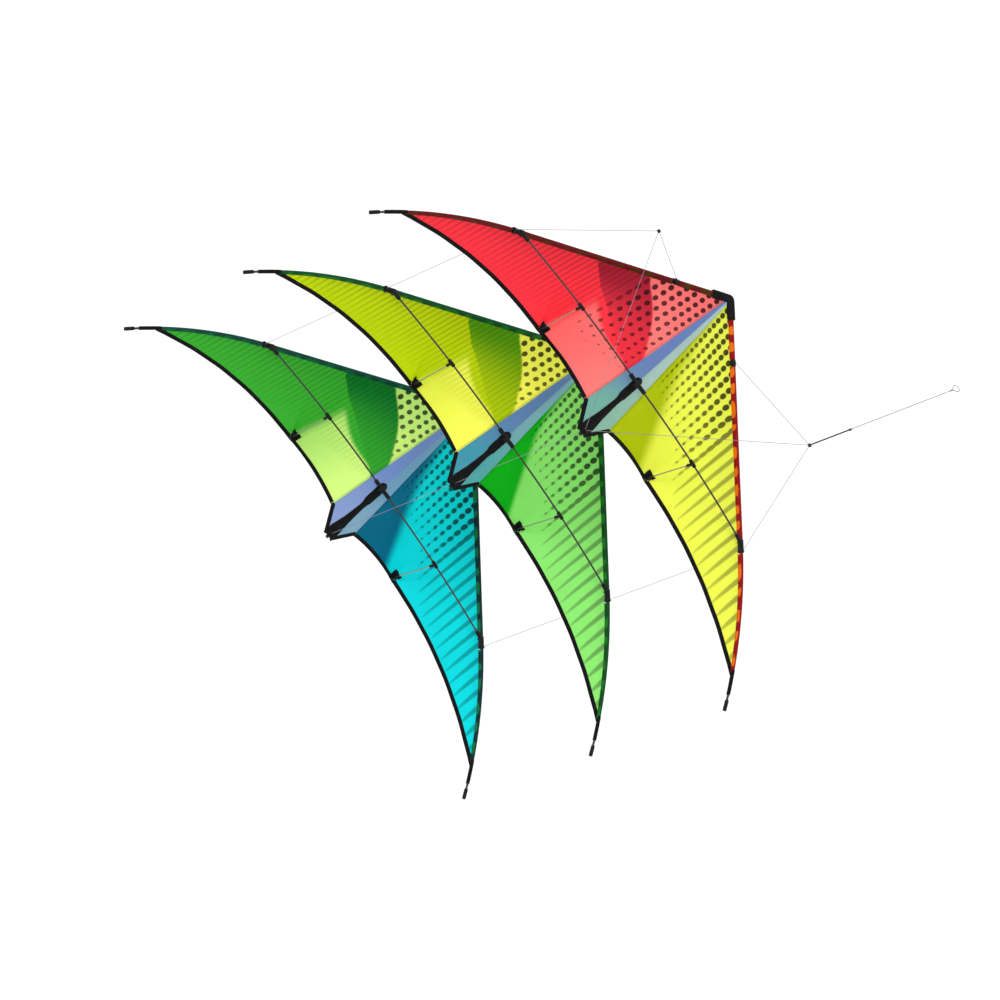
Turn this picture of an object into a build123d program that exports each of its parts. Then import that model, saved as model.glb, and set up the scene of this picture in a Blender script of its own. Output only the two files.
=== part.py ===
"""Train of three small dual-line delta kites, hung by the two tow points of the front kite's bridle.

Frame: the origin is midway between the two tow points, +Z runs along the flying lines towards the
flier, +X is the flier's right along the span, and +Y points the way the noses do. The kites lie
one behind the other down -Z, each parallel to the XY plane. Millimetres throughout.
"""
from build123d import *
import math
import os

os.makedirs("parts", exist_ok=True)

# ---- driving dimensions ------------------------------------------------------------------------
KITES = ["front", "middle", "rear"]
TRAIN_GAP = 397.0          # length of every train line, from one kite to the next

NOSE_Y = 260.0             # measured from the centre tee, which is each kite's own zero
TAIL_Y = -140.0
JOINT_X, JOINT_Y = 320.0, -15.0      # where the spreader meets the leading edge
TIP_X, TIP_Y = 500.0, -229.0         # end of the bare spar
SAIL_END_X = 455.0         # the sail stops here and the spar runs on bare
STANDOFF_X, STANDOFF_Y = 153.0, -16.0
SAIL_DEPTH = 114.0         # how far the standoffs hold the trailing edge back
PANEL_TOP_Y = 238.0
PANEL_CORNER_X, PANEL_CORNER_Y = 33.0, -84.0
OUTER_HOLLOW = 26.0        # hollow of the trailing edge between standoff and tip
INNER_HOLLOW = 6.0         # and between standoff and centre panel

TOW_X, TOW_Y, TOW_Z = 214.0, 29.4, 255.0
LINE_PAST_JOINT = 8.0      # train lines sit this far outboard of the joint, along the spar
UPPER_X = 84.0             # upper bridle and train point on the leading edge
TAIL_LINE_Y = -135.0

SPAR_R = 2.0
SPREADER_R = 1.5
SPREADER_Z = 6.0
SPREADER_BOW = 7.0         # the standoffs bow the spreaders forward by this much
STANDOFF_R = 1.0
SPINE_Z = -5.2             # the spine lies behind the sail
SLEEVE_R, SLEEVE_BORE_R = 5.5, 4.6
SAIL_T = 0.6
SAIL_INSET = 5.8           # sail cloth starts this far inside the spar's line
LINE_R = 0.6
FIT = 0.1                  # radial room of a rod in its socket

PIGTAIL_R = 1.2
PIGTAIL_END = 112.0
LINE_END = 384.0
WHIPPING = 6.0             # the bound end of the line, below its loop
LOOP_R = 8.0

# ---- the leading edge: straight from nose to joint, then one arc to the tip --------------------
straight = math.hypot(JOINT_X, NOSE_Y - JOINT_Y)
LE_DIR = (JOINT_X / straight, (JOINT_Y - NOSE_Y) / straight)
chord = (TIP_X - JOINT_X, TIP_Y - JOINT_Y)
chord_length = math.hypot(*chord)
half_turn = math.atan2(LE_DIR[1], LE_DIR[0]) - math.atan2(chord[1], chord[0])
ARC_R = chord_length / (2 * math.sin(half_turn))
ARC_CENTRE = (JOINT_X + ARC_R * LE_DIR[1], JOINT_Y - ARC_R * LE_DIR[0])


def le_y(x):
    """Height of the spar's line at a distance x from the spine."""
    if x <= JOINT_X:
        return NOSE_Y + x * LE_DIR[1] / LE_DIR[0]
    return ARC_CENTRE[1] + math.sqrt(ARC_R**2 - (x - ARC_CENTRE[0]) ** 2)


def le_slope(x):
    """Slope of the spar's line there."""
    if x <= JOINT_X:
        return LE_DIR[1] / LE_DIR[0]
    return -(x - ARC_CENTRE[0]) / (le_y(x) - ARC_CENTRE[1])


def sail_top_y(x):
    """Upper edge of the cloth: the spar's line moved inwards."""
    return le_y(x) - SAIL_INSET * math.hypot(1, le_slope(x))


def te_point(x):
    """Trailing edge as (y, z): hollow arcs in plan, deepest where the standoff holds it."""
    if x < STANDOFF_X:
        u = (x - PANEL_CORNER_X) / (STANDOFF_X - PANEL_CORNER_X)
        y = PANEL_CORNER_Y + u * (STANDOFF_Y - PANEL_CORNER_Y) + INNER_HOLLOW * 4 * u * (1 - u)
        return y, -SAIL_DEPTH * x / STANDOFF_X
    u = (x - STANDOFF_X) / (SAIL_END_X - STANDOFF_X)
    end_y = sail_top_y(SAIL_END_X) - 10.0
    y = STANDOFF_Y + u * (end_y - STANDOFF_Y) + OUTER_HOLLOW * 4 * u * (1 - u)
    return y, -SAIL_DEPTH * (1 - u**1.15)


# ---- placing -----------------------------------------------------------------------------------
def place(kite, x, y, z):
    """A point of one kite, given from its own tee, in the frame of the whole train."""
    return Vector(x, y - TOW_Y, z - TOW_Z - TRAIN_GAP * kite)


def rod(start, end, radius, mode=Mode.ADD):
    """A round rod from one point to another, added to the part being built."""
    axis = end - start
    with BuildSketch(Plane(origin=start, z_dir=axis)) as profile:
        Circle(radius)
    extrude(profile.sketch, amount=axis.length, mode=mode)


def bent_rod(path, radius, mode=Mode.ADD):
    """A round rod along a path."""
    with BuildSketch(Plane(origin=path @ 0, z_dir=path % 0)) as profile:
        Circle(radius)
    sweep(profile.sketch, path=path, mode=mode)


def save(part, name):
    """Label a finished part and write its file."""
    part.label = name
    export_step(part, f"parts/{name}.step")


def rib(start, end):
    """The upright slice of cloth between a point on its front edge and one on its back edge."""
    run = Vector(end.X - start.X, end.Y - start.Y, 0)
    rise = end.Z - start.Z
    along = run.normalized()
    half = SAIL_T / 2
    upright = Plane(origin=start, x_dir=along, z_dir=Vector(along.Y, -along.X, 0))
    with BuildSketch(upright) as slice_of_cloth:
        with BuildLine():
            Polyline(
                (0, -half), (run.length, rise - half), (run.length, rise + half), (0, half),
                close=True,
            )
        make_face()
    return slice_of_cloth.sketch


def along_edge(kite, side, distance, z=0.0):
    """A point on the straight part of the leading edge, measured from the nose."""
    return place(kite, side * distance * LE_DIR[0], NOSE_Y + distance * LE_DIR[1], z)


def edge_arc(kite, side, x0, x1, mode=Mode.ADD):
    """The arc of the leading edge between two distances from the spine."""
    xm = (x0 + x1) / 2
    points = [place(kite, side * x, le_y(x), 0) for x in (x0, xm, x1)]
    return ThreePointArc(*points, mode=mode)


SIDES = {"left": -1, "right": 1}
UPPER_DISTANCE = UPPER_X / LE_DIR[0]
CAP_LENGTH = 36.0
CAP_OUTER, CAP_INNER = 7.0, 8.0     # reach outside and inside the spar's line
CAP_FRONT, CAP_BACK = 5.0, -9.4
CAP_PLY = 1.8
CAP_NOSE_R = 11.0
CONNECTOR_HALF = 11.0
WEB_Z = 0.8                # the connector's web stays in front of the cloth
CUTOUT_HALF = 16.0         # the sleeve is cut away this far each side of the joint
LINE_X = JOINT_X + LINE_PAST_JOINT * LE_DIR[0]
LINE_Y = le_y(LINE_X)


def spreader_points(kite, side):
    """Inner end, middle and outer end of one lower spreader."""
    inner = place(kite, side * 6.0, JOINT_Y * 6.0 / JOINT_X, SPREADER_Z)
    outer_x = JOINT_X - 7.0
    outer = place(kite, side * outer_x, JOINT_Y * outer_x / JOINT_X, SPREADER_Z)
    middle = (inner + outer) * 0.5 + Vector(0, 0, SPREADER_BOW)
    return inner, middle, outer


# ---- one kite ----------------------------------------------------------------------------------
PANEL_RIB_TOP_X = 4.0
RIB_XS = [60, 95, 125, STANDOFF_X, 200, 240, 280, 320, 360, 400, 430, SAIL_END_X]
RIB_STATIONS = [(40, 46)] + [(x, x) for x in RIB_XS]      # upper end, lower end


def make_sail(kite, side):
    """One wing of cloth, from the centre panel's seam to the sail's end."""
    top = place(kite, side * PANEL_RIB_TOP_X, PANEL_TOP_Y, 0)
    y, z = te_point(PANEL_CORNER_X)
    corner = place(kite, side * PANEL_CORNER_X, y, z)
    ribs = [rib(top, corner)]
    for top_x, edge_x in RIB_STATIONS:
        upper = place(kite, side * top_x, sail_top_y(top_x), 0)
        ribs.append(rib(upper, place(kite, side * edge_x, *te_point(edge_x))))
    with BuildPart() as sail:
        loft(ribs, ruled=True)
    return sail.part


def make_centre_panel(kite):
    """The narrow translucent panel over the spine, folded along it, with a hole for the tee."""
    y, z = te_point(PANEL_CORNER_X)
    gap = 0.3              # seam allowance beside each wing
    fold = rib(place(kite, 0, PANEL_TOP_Y + 3, 0), place(kite, 0, TAIL_Y + 2, 0))
    with BuildPart() as panel:
        for side in SIDES.values():
            seam_top = place(kite, side * (PANEL_RIB_TOP_X - gap), PANEL_TOP_Y, 0)
            seam = rib(seam_top, place(kite, side * (PANEL_CORNER_X - gap), y, z))
            loft([fold, seam], ruled=True)
        with BuildSketch(Plane(origin=place(kite, 0, 0, 0))):
            Rectangle(11, 26)
        extrude(amount=10, both=True, mode=Mode.SUBTRACT)
    return panel.part


def cap_outline(outer, inner, length):
    """The V of the nose cap in plan, as far as given outside, inside and along the spars."""
    normal = (-LE_DIR[1], LE_DIR[0])
    end = (length * LE_DIR[0], NOSE_Y + length * LE_DIR[1])
    outer_end = (end[0] + outer * normal[0], end[1] + outer * normal[1])
    inner_end = (end[0] - inner * normal[0], end[1] - inner * normal[1])
    apex = (0, NOSE_Y + outer / normal[1])
    notch = (0, NOSE_Y - inner / normal[1])
    mirrored = [(-x, y) for x, y in (inner_end, outer_end)]
    return Polyline(apex, outer_end, inner_end, notch, *mirrored, close=True)


def make_nose_cap(kite):
    """Heavy webbing folded over the nose into a pocket for both spars and the spine."""
    with BuildPart() as cap:
        with BuildSketch(Plane(origin=place(kite, 0, 0, CAP_BACK))) as outline:
            with BuildLine():
                cap_outline(CAP_OUTER, CAP_INNER, CAP_LENGTH)
            make_face()
            fillet(outline.vertices().sort_by(Axis.Y)[-1], CAP_NOSE_R)
        extrude(amount=CAP_FRONT - CAP_BACK)
        fillet(cap.faces().filter_by(Axis.Z).edges(), 1.6)
        with BuildSketch(Plane(origin=place(kite, 0, 0, CAP_BACK + CAP_PLY))) as pocket:
            with BuildLine():
                cap_outline(CAP_OUTER - CAP_PLY, CAP_INNER + 8, CAP_LENGTH + 8)
            make_face()
            fillet(pocket.vertices().sort_by(Axis.Y)[-1], CAP_NOSE_R - CAP_PLY)
        extrude(amount=CAP_FRONT - CAP_BACK - 2 * CAP_PLY, mode=Mode.SUBTRACT)
    return cap.part


def make_spine(kite):
    """The centre spar, behind the sail from nose pocket to tail cap."""
    with BuildPart() as spine:
        rod(place(kite, 0, 252, SPINE_Z), place(kite, 0, TAIL_Y + 1, SPINE_Z), SPAR_R)
    return spine.part


def make_spars(kite):
    """The two leading edge spars, straight to the joint and sprung into an arc beyond it."""
    with BuildPart() as spars:
        for side in SIDES.values():
            with BuildLine() as edge:
                Line(along_edge(kite, side, 12), along_edge(kite, side, straight))
                edge_arc(kite, side, JOINT_X, TIP_X)
            bent_rod(edge.wires()[0], SPAR_R)
    return spars.part


def make_sleeve(kite, side):
    """The fabric sleeve of one leading edge, open at the upper point and at the joint."""
    upper_gap = 7.0
    straights = [
        (CAP_LENGTH + 0.5, UPPER_DISTANCE - upper_gap),
        (UPPER_DISTANCE + upper_gap, straight - CUTOUT_HALF),
    ]
    with BuildPart() as sleeve:
        for first, last in straights:
            start, end = along_edge(kite, side, first), along_edge(kite, side, last)
            rod(start, end, SLEEVE_R)
            rod(start, end, SLEEVE_BORE_R, Mode.SUBTRACT)
        with BuildLine() as edge:
            arc = edge_arc(kite, side, JOINT_X + CUTOUT_HALF * LE_DIR[0], SAIL_END_X)
        with BuildSketch(Plane(origin=arc @ 0, z_dir=arc % 0)):
            Circle(SLEEVE_R)
            Circle(SLEEVE_BORE_R, mode=Mode.SUBTRACT)
        sweep(path=edge.wires()[0])
    return sleeve.part


def make_spreader(kite, side):
    """One lower spreader, bowed forward by its standoff."""
    with BuildPart() as spreader:
        with BuildLine() as line:
            ThreePointArc(*spreader_points(kite, side))
        bent_rod(line.wires()[0], SPREADER_R)
    return spreader.part


def spreader_arc(kite, side):
    """The spreader's centre line, for the fittings that hold it."""
    return ThreePointArc(*spreader_points(kite, side), mode=Mode.PRIVATE)


def make_centre_tee(kite):
    """Moulded cross: a tube clamped on the spine, a neck through the panel and two sockets."""
    with BuildPart() as tee:
        rod(place(kite, 0, 12, SPINE_Z), place(kite, 0, -12, SPINE_Z), 4.3)
        with BuildSketch(Plane(origin=place(kite, 0, 0, SPINE_Z))):
            RectangleRounded(7, 17, 2)
        extrude(amount=SPREADER_Z - SPINE_Z + 2)
        for side in SIDES.values():
            arc = spreader_arc(kite, side)
            start = arc @ 0
            heading = (arc % 0).normalized()
            rod(start - heading * 6, start + heading * 14, 3.6)
        rod(place(kite, 0, 20, SPINE_Z), place(kite, 0, -20, SPINE_Z), SPAR_R + FIT, Mode.SUBTRACT)
        for side in SIDES.values():
            arc = spreader_arc(kite, side)
            start = arc @ 0
            heading = (arc % 0).normalized()
            rod(start - heading * 0.5, start + heading * 20, SPREADER_R + 2 * FIT, Mode.SUBTRACT)
    return tee.part


def make_edge_connectors(kite):
    """Two moulded connectors: a tube on the spar and a socket arm for the spreader."""
    with BuildPart() as connectors:
        for side in SIDES.values():
            low = along_edge(kite, side, straight - CONNECTOR_HALF)
            high = along_edge(kite, side, straight + CONNECTOR_HALF)
            rod(low, high, 4.8)
            arc = spreader_arc(kite, side)
            end = arc @ 1
            heading = (arc % 1).normalized()
            rod(end - heading * 15, end + heading * 4, 3.4)
            with BuildSketch(Plane(origin=place(kite, side * (JOINT_X - 5), JOINT_Y, WEB_Z))):
                RectangleRounded(10, 6, 1.5)
            extrude(amount=SPREADER_Z - WEB_Z)
            rod(low, high, SPAR_R + FIT, Mode.SUBTRACT)
            rod(end - heading * 20, end + heading * 0.5, SPREADER_R + 2 * FIT, Mode.SUBTRACT)
    return connectors.part


def make_upper_stoppers(kite):
    """Two short collars on the spars that keep the upper lines from sliding."""
    with BuildPart() as stoppers:
        for side in SIDES.values():
            low = along_edge(kite, side, UPPER_DISTANCE - 5)
            high = along_edge(kite, side, UPPER_DISTANCE + 5)
            rod(low, high, 4.6)
            rod(low, high, SPAR_R + FIT, Mode.SUBTRACT)
    return stoppers.part


def standoff_ends(kite, side):
    """Top of a standoff in its clip and its foot just in front of the sail's edge."""
    middle = spreader_points(kite, side)[1]
    top = middle + Vector(0, -1.0, -4.0)
    foot = place(kite, side * STANDOFF_X, STANDOFF_Y + 4.0, 10.0 - SAIL_DEPTH)
    return top, foot


def make_standoffs(kite):
    """The two thin rods that hold the trailing edge back from the spreaders."""
    with BuildPart() as standoffs:
        for side in SIDES.values():
            top, foot = standoff_ends(kite, side)
            rod(top, foot, STANDOFF_R)
    return standoffs.part


def make_standoff_fittings(kite):
    """Clips on the spreaders and end caps at the sail's edge."""
    with BuildPart() as fittings:
        for side in SIDES.values():
            middle = spreader_points(kite, side)[1]
            top, foot = standoff_ends(kite, side)
            down = (foot - top).normalized()
            across = Vector(side, JOINT_Y / JOINT_X, 0).normalized()
            rod(middle - across * 7, middle + across * 7, 3.2)
            rod(top - down * 2, top + down * 9, 2.5)
            rod(foot - down * 12, foot + down * 1.5, 2.4)
            rod(middle - across * 8, middle + across * 8, SPREADER_R + 2 * FIT, Mode.SUBTRACT)
            rod(top, foot, STANDOFF_R + FIT, Mode.SUBTRACT)
    return fittings.part


def make_end_caps(kite):
    """Nocked caps on both wing tips and a plain cap on the spine's tail."""
    with BuildPart() as caps:
        for side in SIDES.values():
            arc = edge_arc(kite, side, JOINT_X, TIP_X, mode=Mode.PRIVATE)
            tip = arc @ 1
            heading = (arc % 1).normalized()
            rod(tip - heading * 14, tip + heading * 4, 3.3)
            rod(tip - heading * 20, tip + heading * 0.2, SPAR_R + 1.5 * FIT, Mode.SUBTRACT)
            with BuildSketch(Plane(origin=tip + heading * 1.6, z_dir=heading)):
                Rectangle(9, 1.4)
            extrude(amount=4, mode=Mode.SUBTRACT)
        tail = place(kite, 0, TAIL_Y, SPINE_Z)
        rod(tail + Vector(0, 12, 0), tail - Vector(0, 3, 0), 3.0)
        rod(tail + Vector(0, 14, 0), tail + Vector(0, 0.5, 0), SPAR_R + FIT, Mode.SUBTRACT)
    return caps.part


for kite, name in enumerate(KITES):
    for side_name, side in SIDES.items():
        save(make_sail(kite, side), f"{name}_sail_{side_name}")
        save(make_sleeve(kite, side), f"{name}_edge_sleeve_{side_name}")
        save(make_spreader(kite, side), f"{name}_spreader_{side_name}")
    save(make_centre_panel(kite), f"{name}_centre_panel")
    save(make_nose_cap(kite), f"{name}_nose_cap")
    save(make_spine(kite), f"{name}_spine")
    save(make_spars(kite), f"{name}_edge_spars")
    save(make_centre_tee(kite), f"{name}_centre_tee")
    save(make_edge_connectors(kite), f"{name}_edge_connectors")
    save(make_upper_stoppers(kite), f"{name}_upper_stoppers")
    save(make_standoffs(kite), f"{name}_standoffs")
    save(make_standoff_fittings(kite), f"{name}_standoff_fittings")
    save(make_end_caps(kite), f"{name}_end_caps")

# ---- bridle of the front kite ------------------------------------------------------------------
KNOT_ROOM = 5.5            # the legs start outside the tow knot, so that the kite can pitch
FITTING_ROOM = 6.2         # lines stop this far above or below a fitting's axis

for side_name, side in SIDES.items():
    tow = Vector(side * TOW_X, 0, 0)
    feet = [
        place(0, side * LINE_X, LINE_Y, FITTING_ROOM),
        place(0, side * UPPER_X, le_y(UPPER_X), FITTING_ROOM),
        place(0, side * 2.5, TAIL_LINE_Y, 2.6),
    ]
    with BuildPart() as bridle:
        for foot in feet:
            rod(tow + (foot - tow).normalized() * KNOT_ROOM, foot, LINE_R)
    save(bridle.part, f"bridle_{side_name}")

# ---- what the flier holds ----------------------------------------------------------------------
TOW_KNOT_R = 3.6
END_KNOT_R = 2.4

with BuildPart() as tow_knots:
    with Locations((-TOW_X, 0, 0), (TOW_X, 0, 0)):
        Sphere(TOW_KNOT_R)
save(tow_knots.part, "tow_knots")

with BuildPart() as pigtail:
    rod(Vector(TOW_X, 0, TOW_KNOT_R), Vector(TOW_X, 0, PIGTAIL_END), PIGTAIL_R)
    with Locations((TOW_X, 0, PIGTAIL_END)):
        Sphere(END_KNOT_R)
    with BuildSketch(Plane.XY.offset(PIGTAIL_END + 2.0)):
        with Locations((TOW_X, 0)):
            Circle(6)
    extrude(amount=3, mode=Mode.SUBTRACT)
save(pigtail.part, "pigtail")

with BuildPart() as flying_line:
    rod(Vector(TOW_X, 0, PIGTAIL_END + 2.0), Vector(TOW_X, 0, LINE_END), LINE_R)
save(flying_line.part, "flying_line")

with BuildPart() as line_loop:
    rod(Vector(TOW_X, 0, LINE_END), Vector(TOW_X, 0, LINE_END + WHIPPING), 1.1)
    with Locations(Plane(origin=(TOW_X, 0, LINE_END + WHIPPING + LOOP_R - 1), z_dir=(0, 1, 0))):
        Torus(LOOP_R, LINE_R)
save(line_loop.part, "line_loop")

# ---- train lines -------------------------------------------------------------------------------
TRAIN_POINTS = {
    "lower": [(-LINE_X, LINE_Y), (LINE_X, LINE_Y)],
    "upper": [(-UPPER_X, le_y(UPPER_X)), (UPPER_X, le_y(UPPER_X))],
    "tail": [(0.0, TAIL_LINE_Y)],
}
TAIL_ROOM = 9.0            # the tail line starts behind the spine's cap

for gap, gap_name in enumerate(["first", "second"]):
    for line_name, points in TRAIN_POINTS.items():
        below = TAIL_ROOM if line_name == "tail" else FITTING_ROOM
        with BuildPart() as lines:
            for x, y in points:
                rod(place(gap, x, y, -below), place(gap + 1, x, y, FITTING_ROOM), LINE_R)
        save(lines.part, f"{gap_name}_train_{line_name}")
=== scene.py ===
"""Train of three small delta kites hung by the bridle of the front one: its cloth, its lines and its finishes.

Metres. +Z runs along the flying line towards the flier, +X is the flier's right, +Y is noseward. A kite's own
zero is the middle of its centre tee, in the plane of its edge spars; a kite faces +Z, with its sail behind it.
"""
import bmesh
import bpy
import math
import numpy as np
from mathutils import Matrix, Vector


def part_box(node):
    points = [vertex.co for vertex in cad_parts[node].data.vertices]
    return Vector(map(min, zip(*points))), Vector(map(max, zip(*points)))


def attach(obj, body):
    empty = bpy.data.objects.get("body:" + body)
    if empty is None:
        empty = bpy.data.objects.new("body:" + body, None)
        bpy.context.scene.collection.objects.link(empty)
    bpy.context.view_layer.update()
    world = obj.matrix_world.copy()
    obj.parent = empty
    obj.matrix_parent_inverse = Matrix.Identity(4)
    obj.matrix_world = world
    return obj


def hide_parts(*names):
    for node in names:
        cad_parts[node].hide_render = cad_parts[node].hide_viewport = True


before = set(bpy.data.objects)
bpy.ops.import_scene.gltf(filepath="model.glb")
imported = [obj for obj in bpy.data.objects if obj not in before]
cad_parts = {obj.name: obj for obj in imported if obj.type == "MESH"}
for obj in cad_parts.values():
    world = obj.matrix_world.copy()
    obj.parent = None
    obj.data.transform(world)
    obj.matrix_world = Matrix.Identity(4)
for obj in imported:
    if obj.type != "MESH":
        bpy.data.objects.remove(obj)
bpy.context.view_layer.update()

KITES = ["front", "middle", "rear"]
SIDES = {"left": -1.0, "right": 1.0}
MM = 0.001


# ==== tow knots ==================================================================================
# The three legs of each bridle and the flier's pigtail meet in one hard knot. It is the same braided
# polyester as the bridle, pulled tight, and it is the point that the kite pitches about.
def kite_zero(kite):
    """Middle of a kite's centre tee along the spine, in the plane of its edge spars."""
    tee_low, tee_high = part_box(f"{kite}_centre_tee")
    spar_low, spar_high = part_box(f"{kite}_edge_spars")
    return np.array([0.0, (tee_low.y + tee_high.y) / 2, (spar_low.z + spar_high.z) / 2])


def grid_faces(rows, columns, first=0, round_rows=False, round_columns=False, capped=False):
    """Quads between the neighbours of a grid of points, closed round where a direction meets itself."""
    index = first + np.arange(rows * columns).reshape(rows, columns)
    if round_rows:
        index = np.vstack([index, index[:1]])
    if round_columns:
        index = np.hstack([index, index[:, :1]])
    corners = [index[:-1, :-1], index[1:, :-1], index[1:, 1:], index[:-1, 1:]]
    faces = np.stack(corners, -1).reshape(-1, 4).tolist()
    if capped:
        faces.append(index[0, :-1].tolist())
        faces.append(index[-1, :-1][::-1].tolist())
    return faces


def add_piece(name, shells, body, material, smooth=True, outward=True):
    """A mesh piece from shells of (points, faces), riding on a body. Closed shells have their faces turned
    outwards."""
    points = []
    faces = []
    for shell_points, shell_faces in shells:
        first = sum(len(p) for p in points)
        points.append(np.asarray(shell_points, float).reshape(-1, 3))
        faces += [[first + i for i in face] for face in shell_faces]
    mesh = bpy.data.meshes.new(name)
    mesh.from_pydata(np.vstack(points).tolist(), [], faces)
    if outward:
        made = bmesh.new()
        made.from_mesh(mesh)
        bmesh.ops.recalc_face_normals(made, faces=made.faces)
        made.to_mesh(mesh)
        made.free()
    mesh.polygons.foreach_set("use_smooth", np.full(len(mesh.polygons), smooth))
    mesh.materials.append(material)
    piece = bpy.data.objects.new(name, mesh)
    bpy.context.scene.collection.objects.link(piece)
    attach(piece, body)
    return piece


def unit(vectors):
    """Each vector divided by its own length."""
    return vectors / np.linalg.norm(vectors, axis=-1, keepdims=True)


def spaced_along(line, step):
    """Points a step apart along a line of points, and the line's length."""
    line = np.asarray(line, float)
    travelled = np.concatenate([[0], np.cumsum(np.linalg.norm(np.diff(line, axis=0), axis=1))])
    at = np.linspace(0, travelled[-1], max(2, int(round(travelled[-1] / step)) + 1))
    return np.stack([np.interp(at, travelled, line[:, i]) for i in range(3)], 1), travelled[-1]


def braided_tube(line, radius, pitch, around=10, closed=False):
    """A round cord along a line: a circle carried along it, swollen and pinched by two sets of strands that
    wind opposite ways, once in each pitch."""
    line = np.asarray(line, float)
    ahead = np.roll(line, -1, 0) - np.roll(line, 1, 0)
    if not closed:
        ahead[0] = line[1] - line[0]
        ahead[-1] = line[-1] - line[-2]
    ahead = unit(ahead)
    spread = np.ptp(line, axis=0)
    helper = np.eye(3)[int(np.argmin(spread + np.abs(ahead).mean(0)))]
    side = unit(np.cross(ahead, helper))
    up = np.cross(side, ahead)
    steps = np.linalg.norm(np.diff(line, axis=0), axis=1)
    travelled = np.concatenate([[0], np.cumsum(steps)])[:, None]
    angle = np.linspace(0, 2 * np.pi, around, endpoint=False)[None, :]
    wind = 2 * np.pi * travelled / pitch
    strands = np.abs(np.cos(angle + wind) * np.cos(angle - wind))
    reach = radius * (0.90 + 0.14 * strands)[..., None]
    points = line[:, None] + reach * (np.cos(angle)[..., None] * side[:, None] + np.sin(angle)[...,
                                                                                               None] * up[:, None])
    faces = grid_faces(len(line), around, round_rows=closed, round_columns=True, capped=not closed)
    return points, faces


def pulled_knot(centre, reach, cord_radius):
    """A knot drawn tight: a cord that goes twice round a small ring and three times through it."""
    turn = np.linspace(0, 2 * np.pi, 90, endpoint=False)
    ring = (reach - cord_radius) * 0.62
    loop = (reach - cord_radius) * 0.38
    out = ring + loop * np.cos(3 * turn)
    line = np.stack([out * np.cos(2 * turn), out * np.sin(2 * turn), 1.5 * loop * np.sin(3 * turn)], 1)
    return braided_tube(np.asarray(centre) + line, cord_radius, 3 * MM, closed=True)


def calc(tree, operation, *values):
    """One Math node on numbers and sockets, and its output."""
    node = tree.nodes.new("ShaderNodeMath")
    node.operation = operation
    for socket, value in zip(node.inputs, values):
        if isinstance(value, (int, float)):
            socket.default_value = value
        else:
            tree.links.new(value, socket)
    return node.outputs[0]


def eased(tree, value, start, end):
    """0 before start, 1 after end, and smooth between them."""
    node = tree.nodes.new("ShaderNodeMapRange")
    node.interpolation_type = "SMOOTHSTEP"
    tree.links.new(value, node.inputs["Value"])
    node.inputs["From Min"].default_value = start
    node.inputs["From Max"].default_value = end
    return node.outputs["Result"]


def tinted(tree, share, below, above):
    """A colour that goes from one to another with a share. Each is a colour or a socket."""
    node = tree.nodes.new("ShaderNodeMix")
    node.data_type = "RGBA"
    for socket, value in ((node.inputs[0], share), (node.inputs[6], below), (node.inputs[7], above)):
        if isinstance(value, (float, tuple)):
            socket.default_value = value
        else:
            tree.links.new(value, socket)
    return node.outputs[2]


def paint(red, green, blue):
    """A colour given as 0 to 255 in a paint chart, as the shader's linear red, green, blue and alpha."""
    linear = [(c / 255 / 12.92 if c <= 10 else ((c / 255 + 0.055) / 1.055) ** 2.4) for c in (red, green,
                                                                                             blue)]
    return (*linear, 1.0)


def new_material(name, roughness, **settings):
    """An empty finish: its node tree, its shader and its Object coordinates. Settings go on the shader's
    sockets."""
    material = bpy.data.materials.new(name)
    material.use_nodes = True
    tree = material.node_tree
    shader = tree.nodes["Principled BSDF"]
    shader.inputs["Roughness"].default_value = roughness
    for socket, value in settings.items():
        shader.inputs[socket.replace("_", " ")].default_value = value
    place = tree.nodes.new("ShaderNodeTexCoord").outputs["Object"]
    return material, tree, shader, place


def noise(tree, place, scale, detail=3.0):
    """Cloudy noise of about 0 to 1 on a set of coordinates."""
    node = tree.nodes.new("ShaderNodeTexNoise")
    node.inputs["Scale"].default_value = scale
    node.inputs["Detail"].default_value = detail
    tree.links.new(place, node.inputs["Vector"])
    return node.outputs["Fac"]


def raised(tree, shader, height, strength, distance):
    """Lets a height from 0 to 1 stand up by a distance in metres in the shader's normal."""
    node = tree.nodes.new("ShaderNodeBump")
    node.inputs["Strength"].default_value = strength
    node.inputs["Distance"].default_value = distance
    tree.links.new(height, node.inputs["Height"])
    tree.links.new(node.outputs["Normal"], shader.inputs["Normal"])
    return node


def cord_finish(name, dark, light, roughness=0.6):
    """Braided polyester: two near shades mottled strand by strand, and a fine fibrous grain."""
    material, tree, shader, place = new_material(name, roughness, Specular_IOR_Level=0.25)
    mottle = eased(tree, noise(tree, place, 900.0), 0.35, 0.65)
    tree.links.new(tinted(tree, mottle, dark, light), shader.inputs["Base Color"])
    raised(tree, shader, noise(tree, place, 4000.0), 0.3, 0.1 * MM)
    return material


dark_braid = cord_finish("dark_braid", paint(20, 20, 23), paint(48, 48, 53))

knot_low, knot_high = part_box("tow_knots")
TOW_KNOT_R = (knot_high.z - knot_low.z) / 2
TOW_X = knot_high.x - TOW_KNOT_R

knots = [pulled_knot((side * TOW_X, 0, 0), TOW_KNOT_R, 1.0 * MM) for side in SIDES.values()]
tow_knots = add_piece("tow_knot_pair", knots, "flier_lines", dark_braid)
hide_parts("tow_knots")

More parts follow.
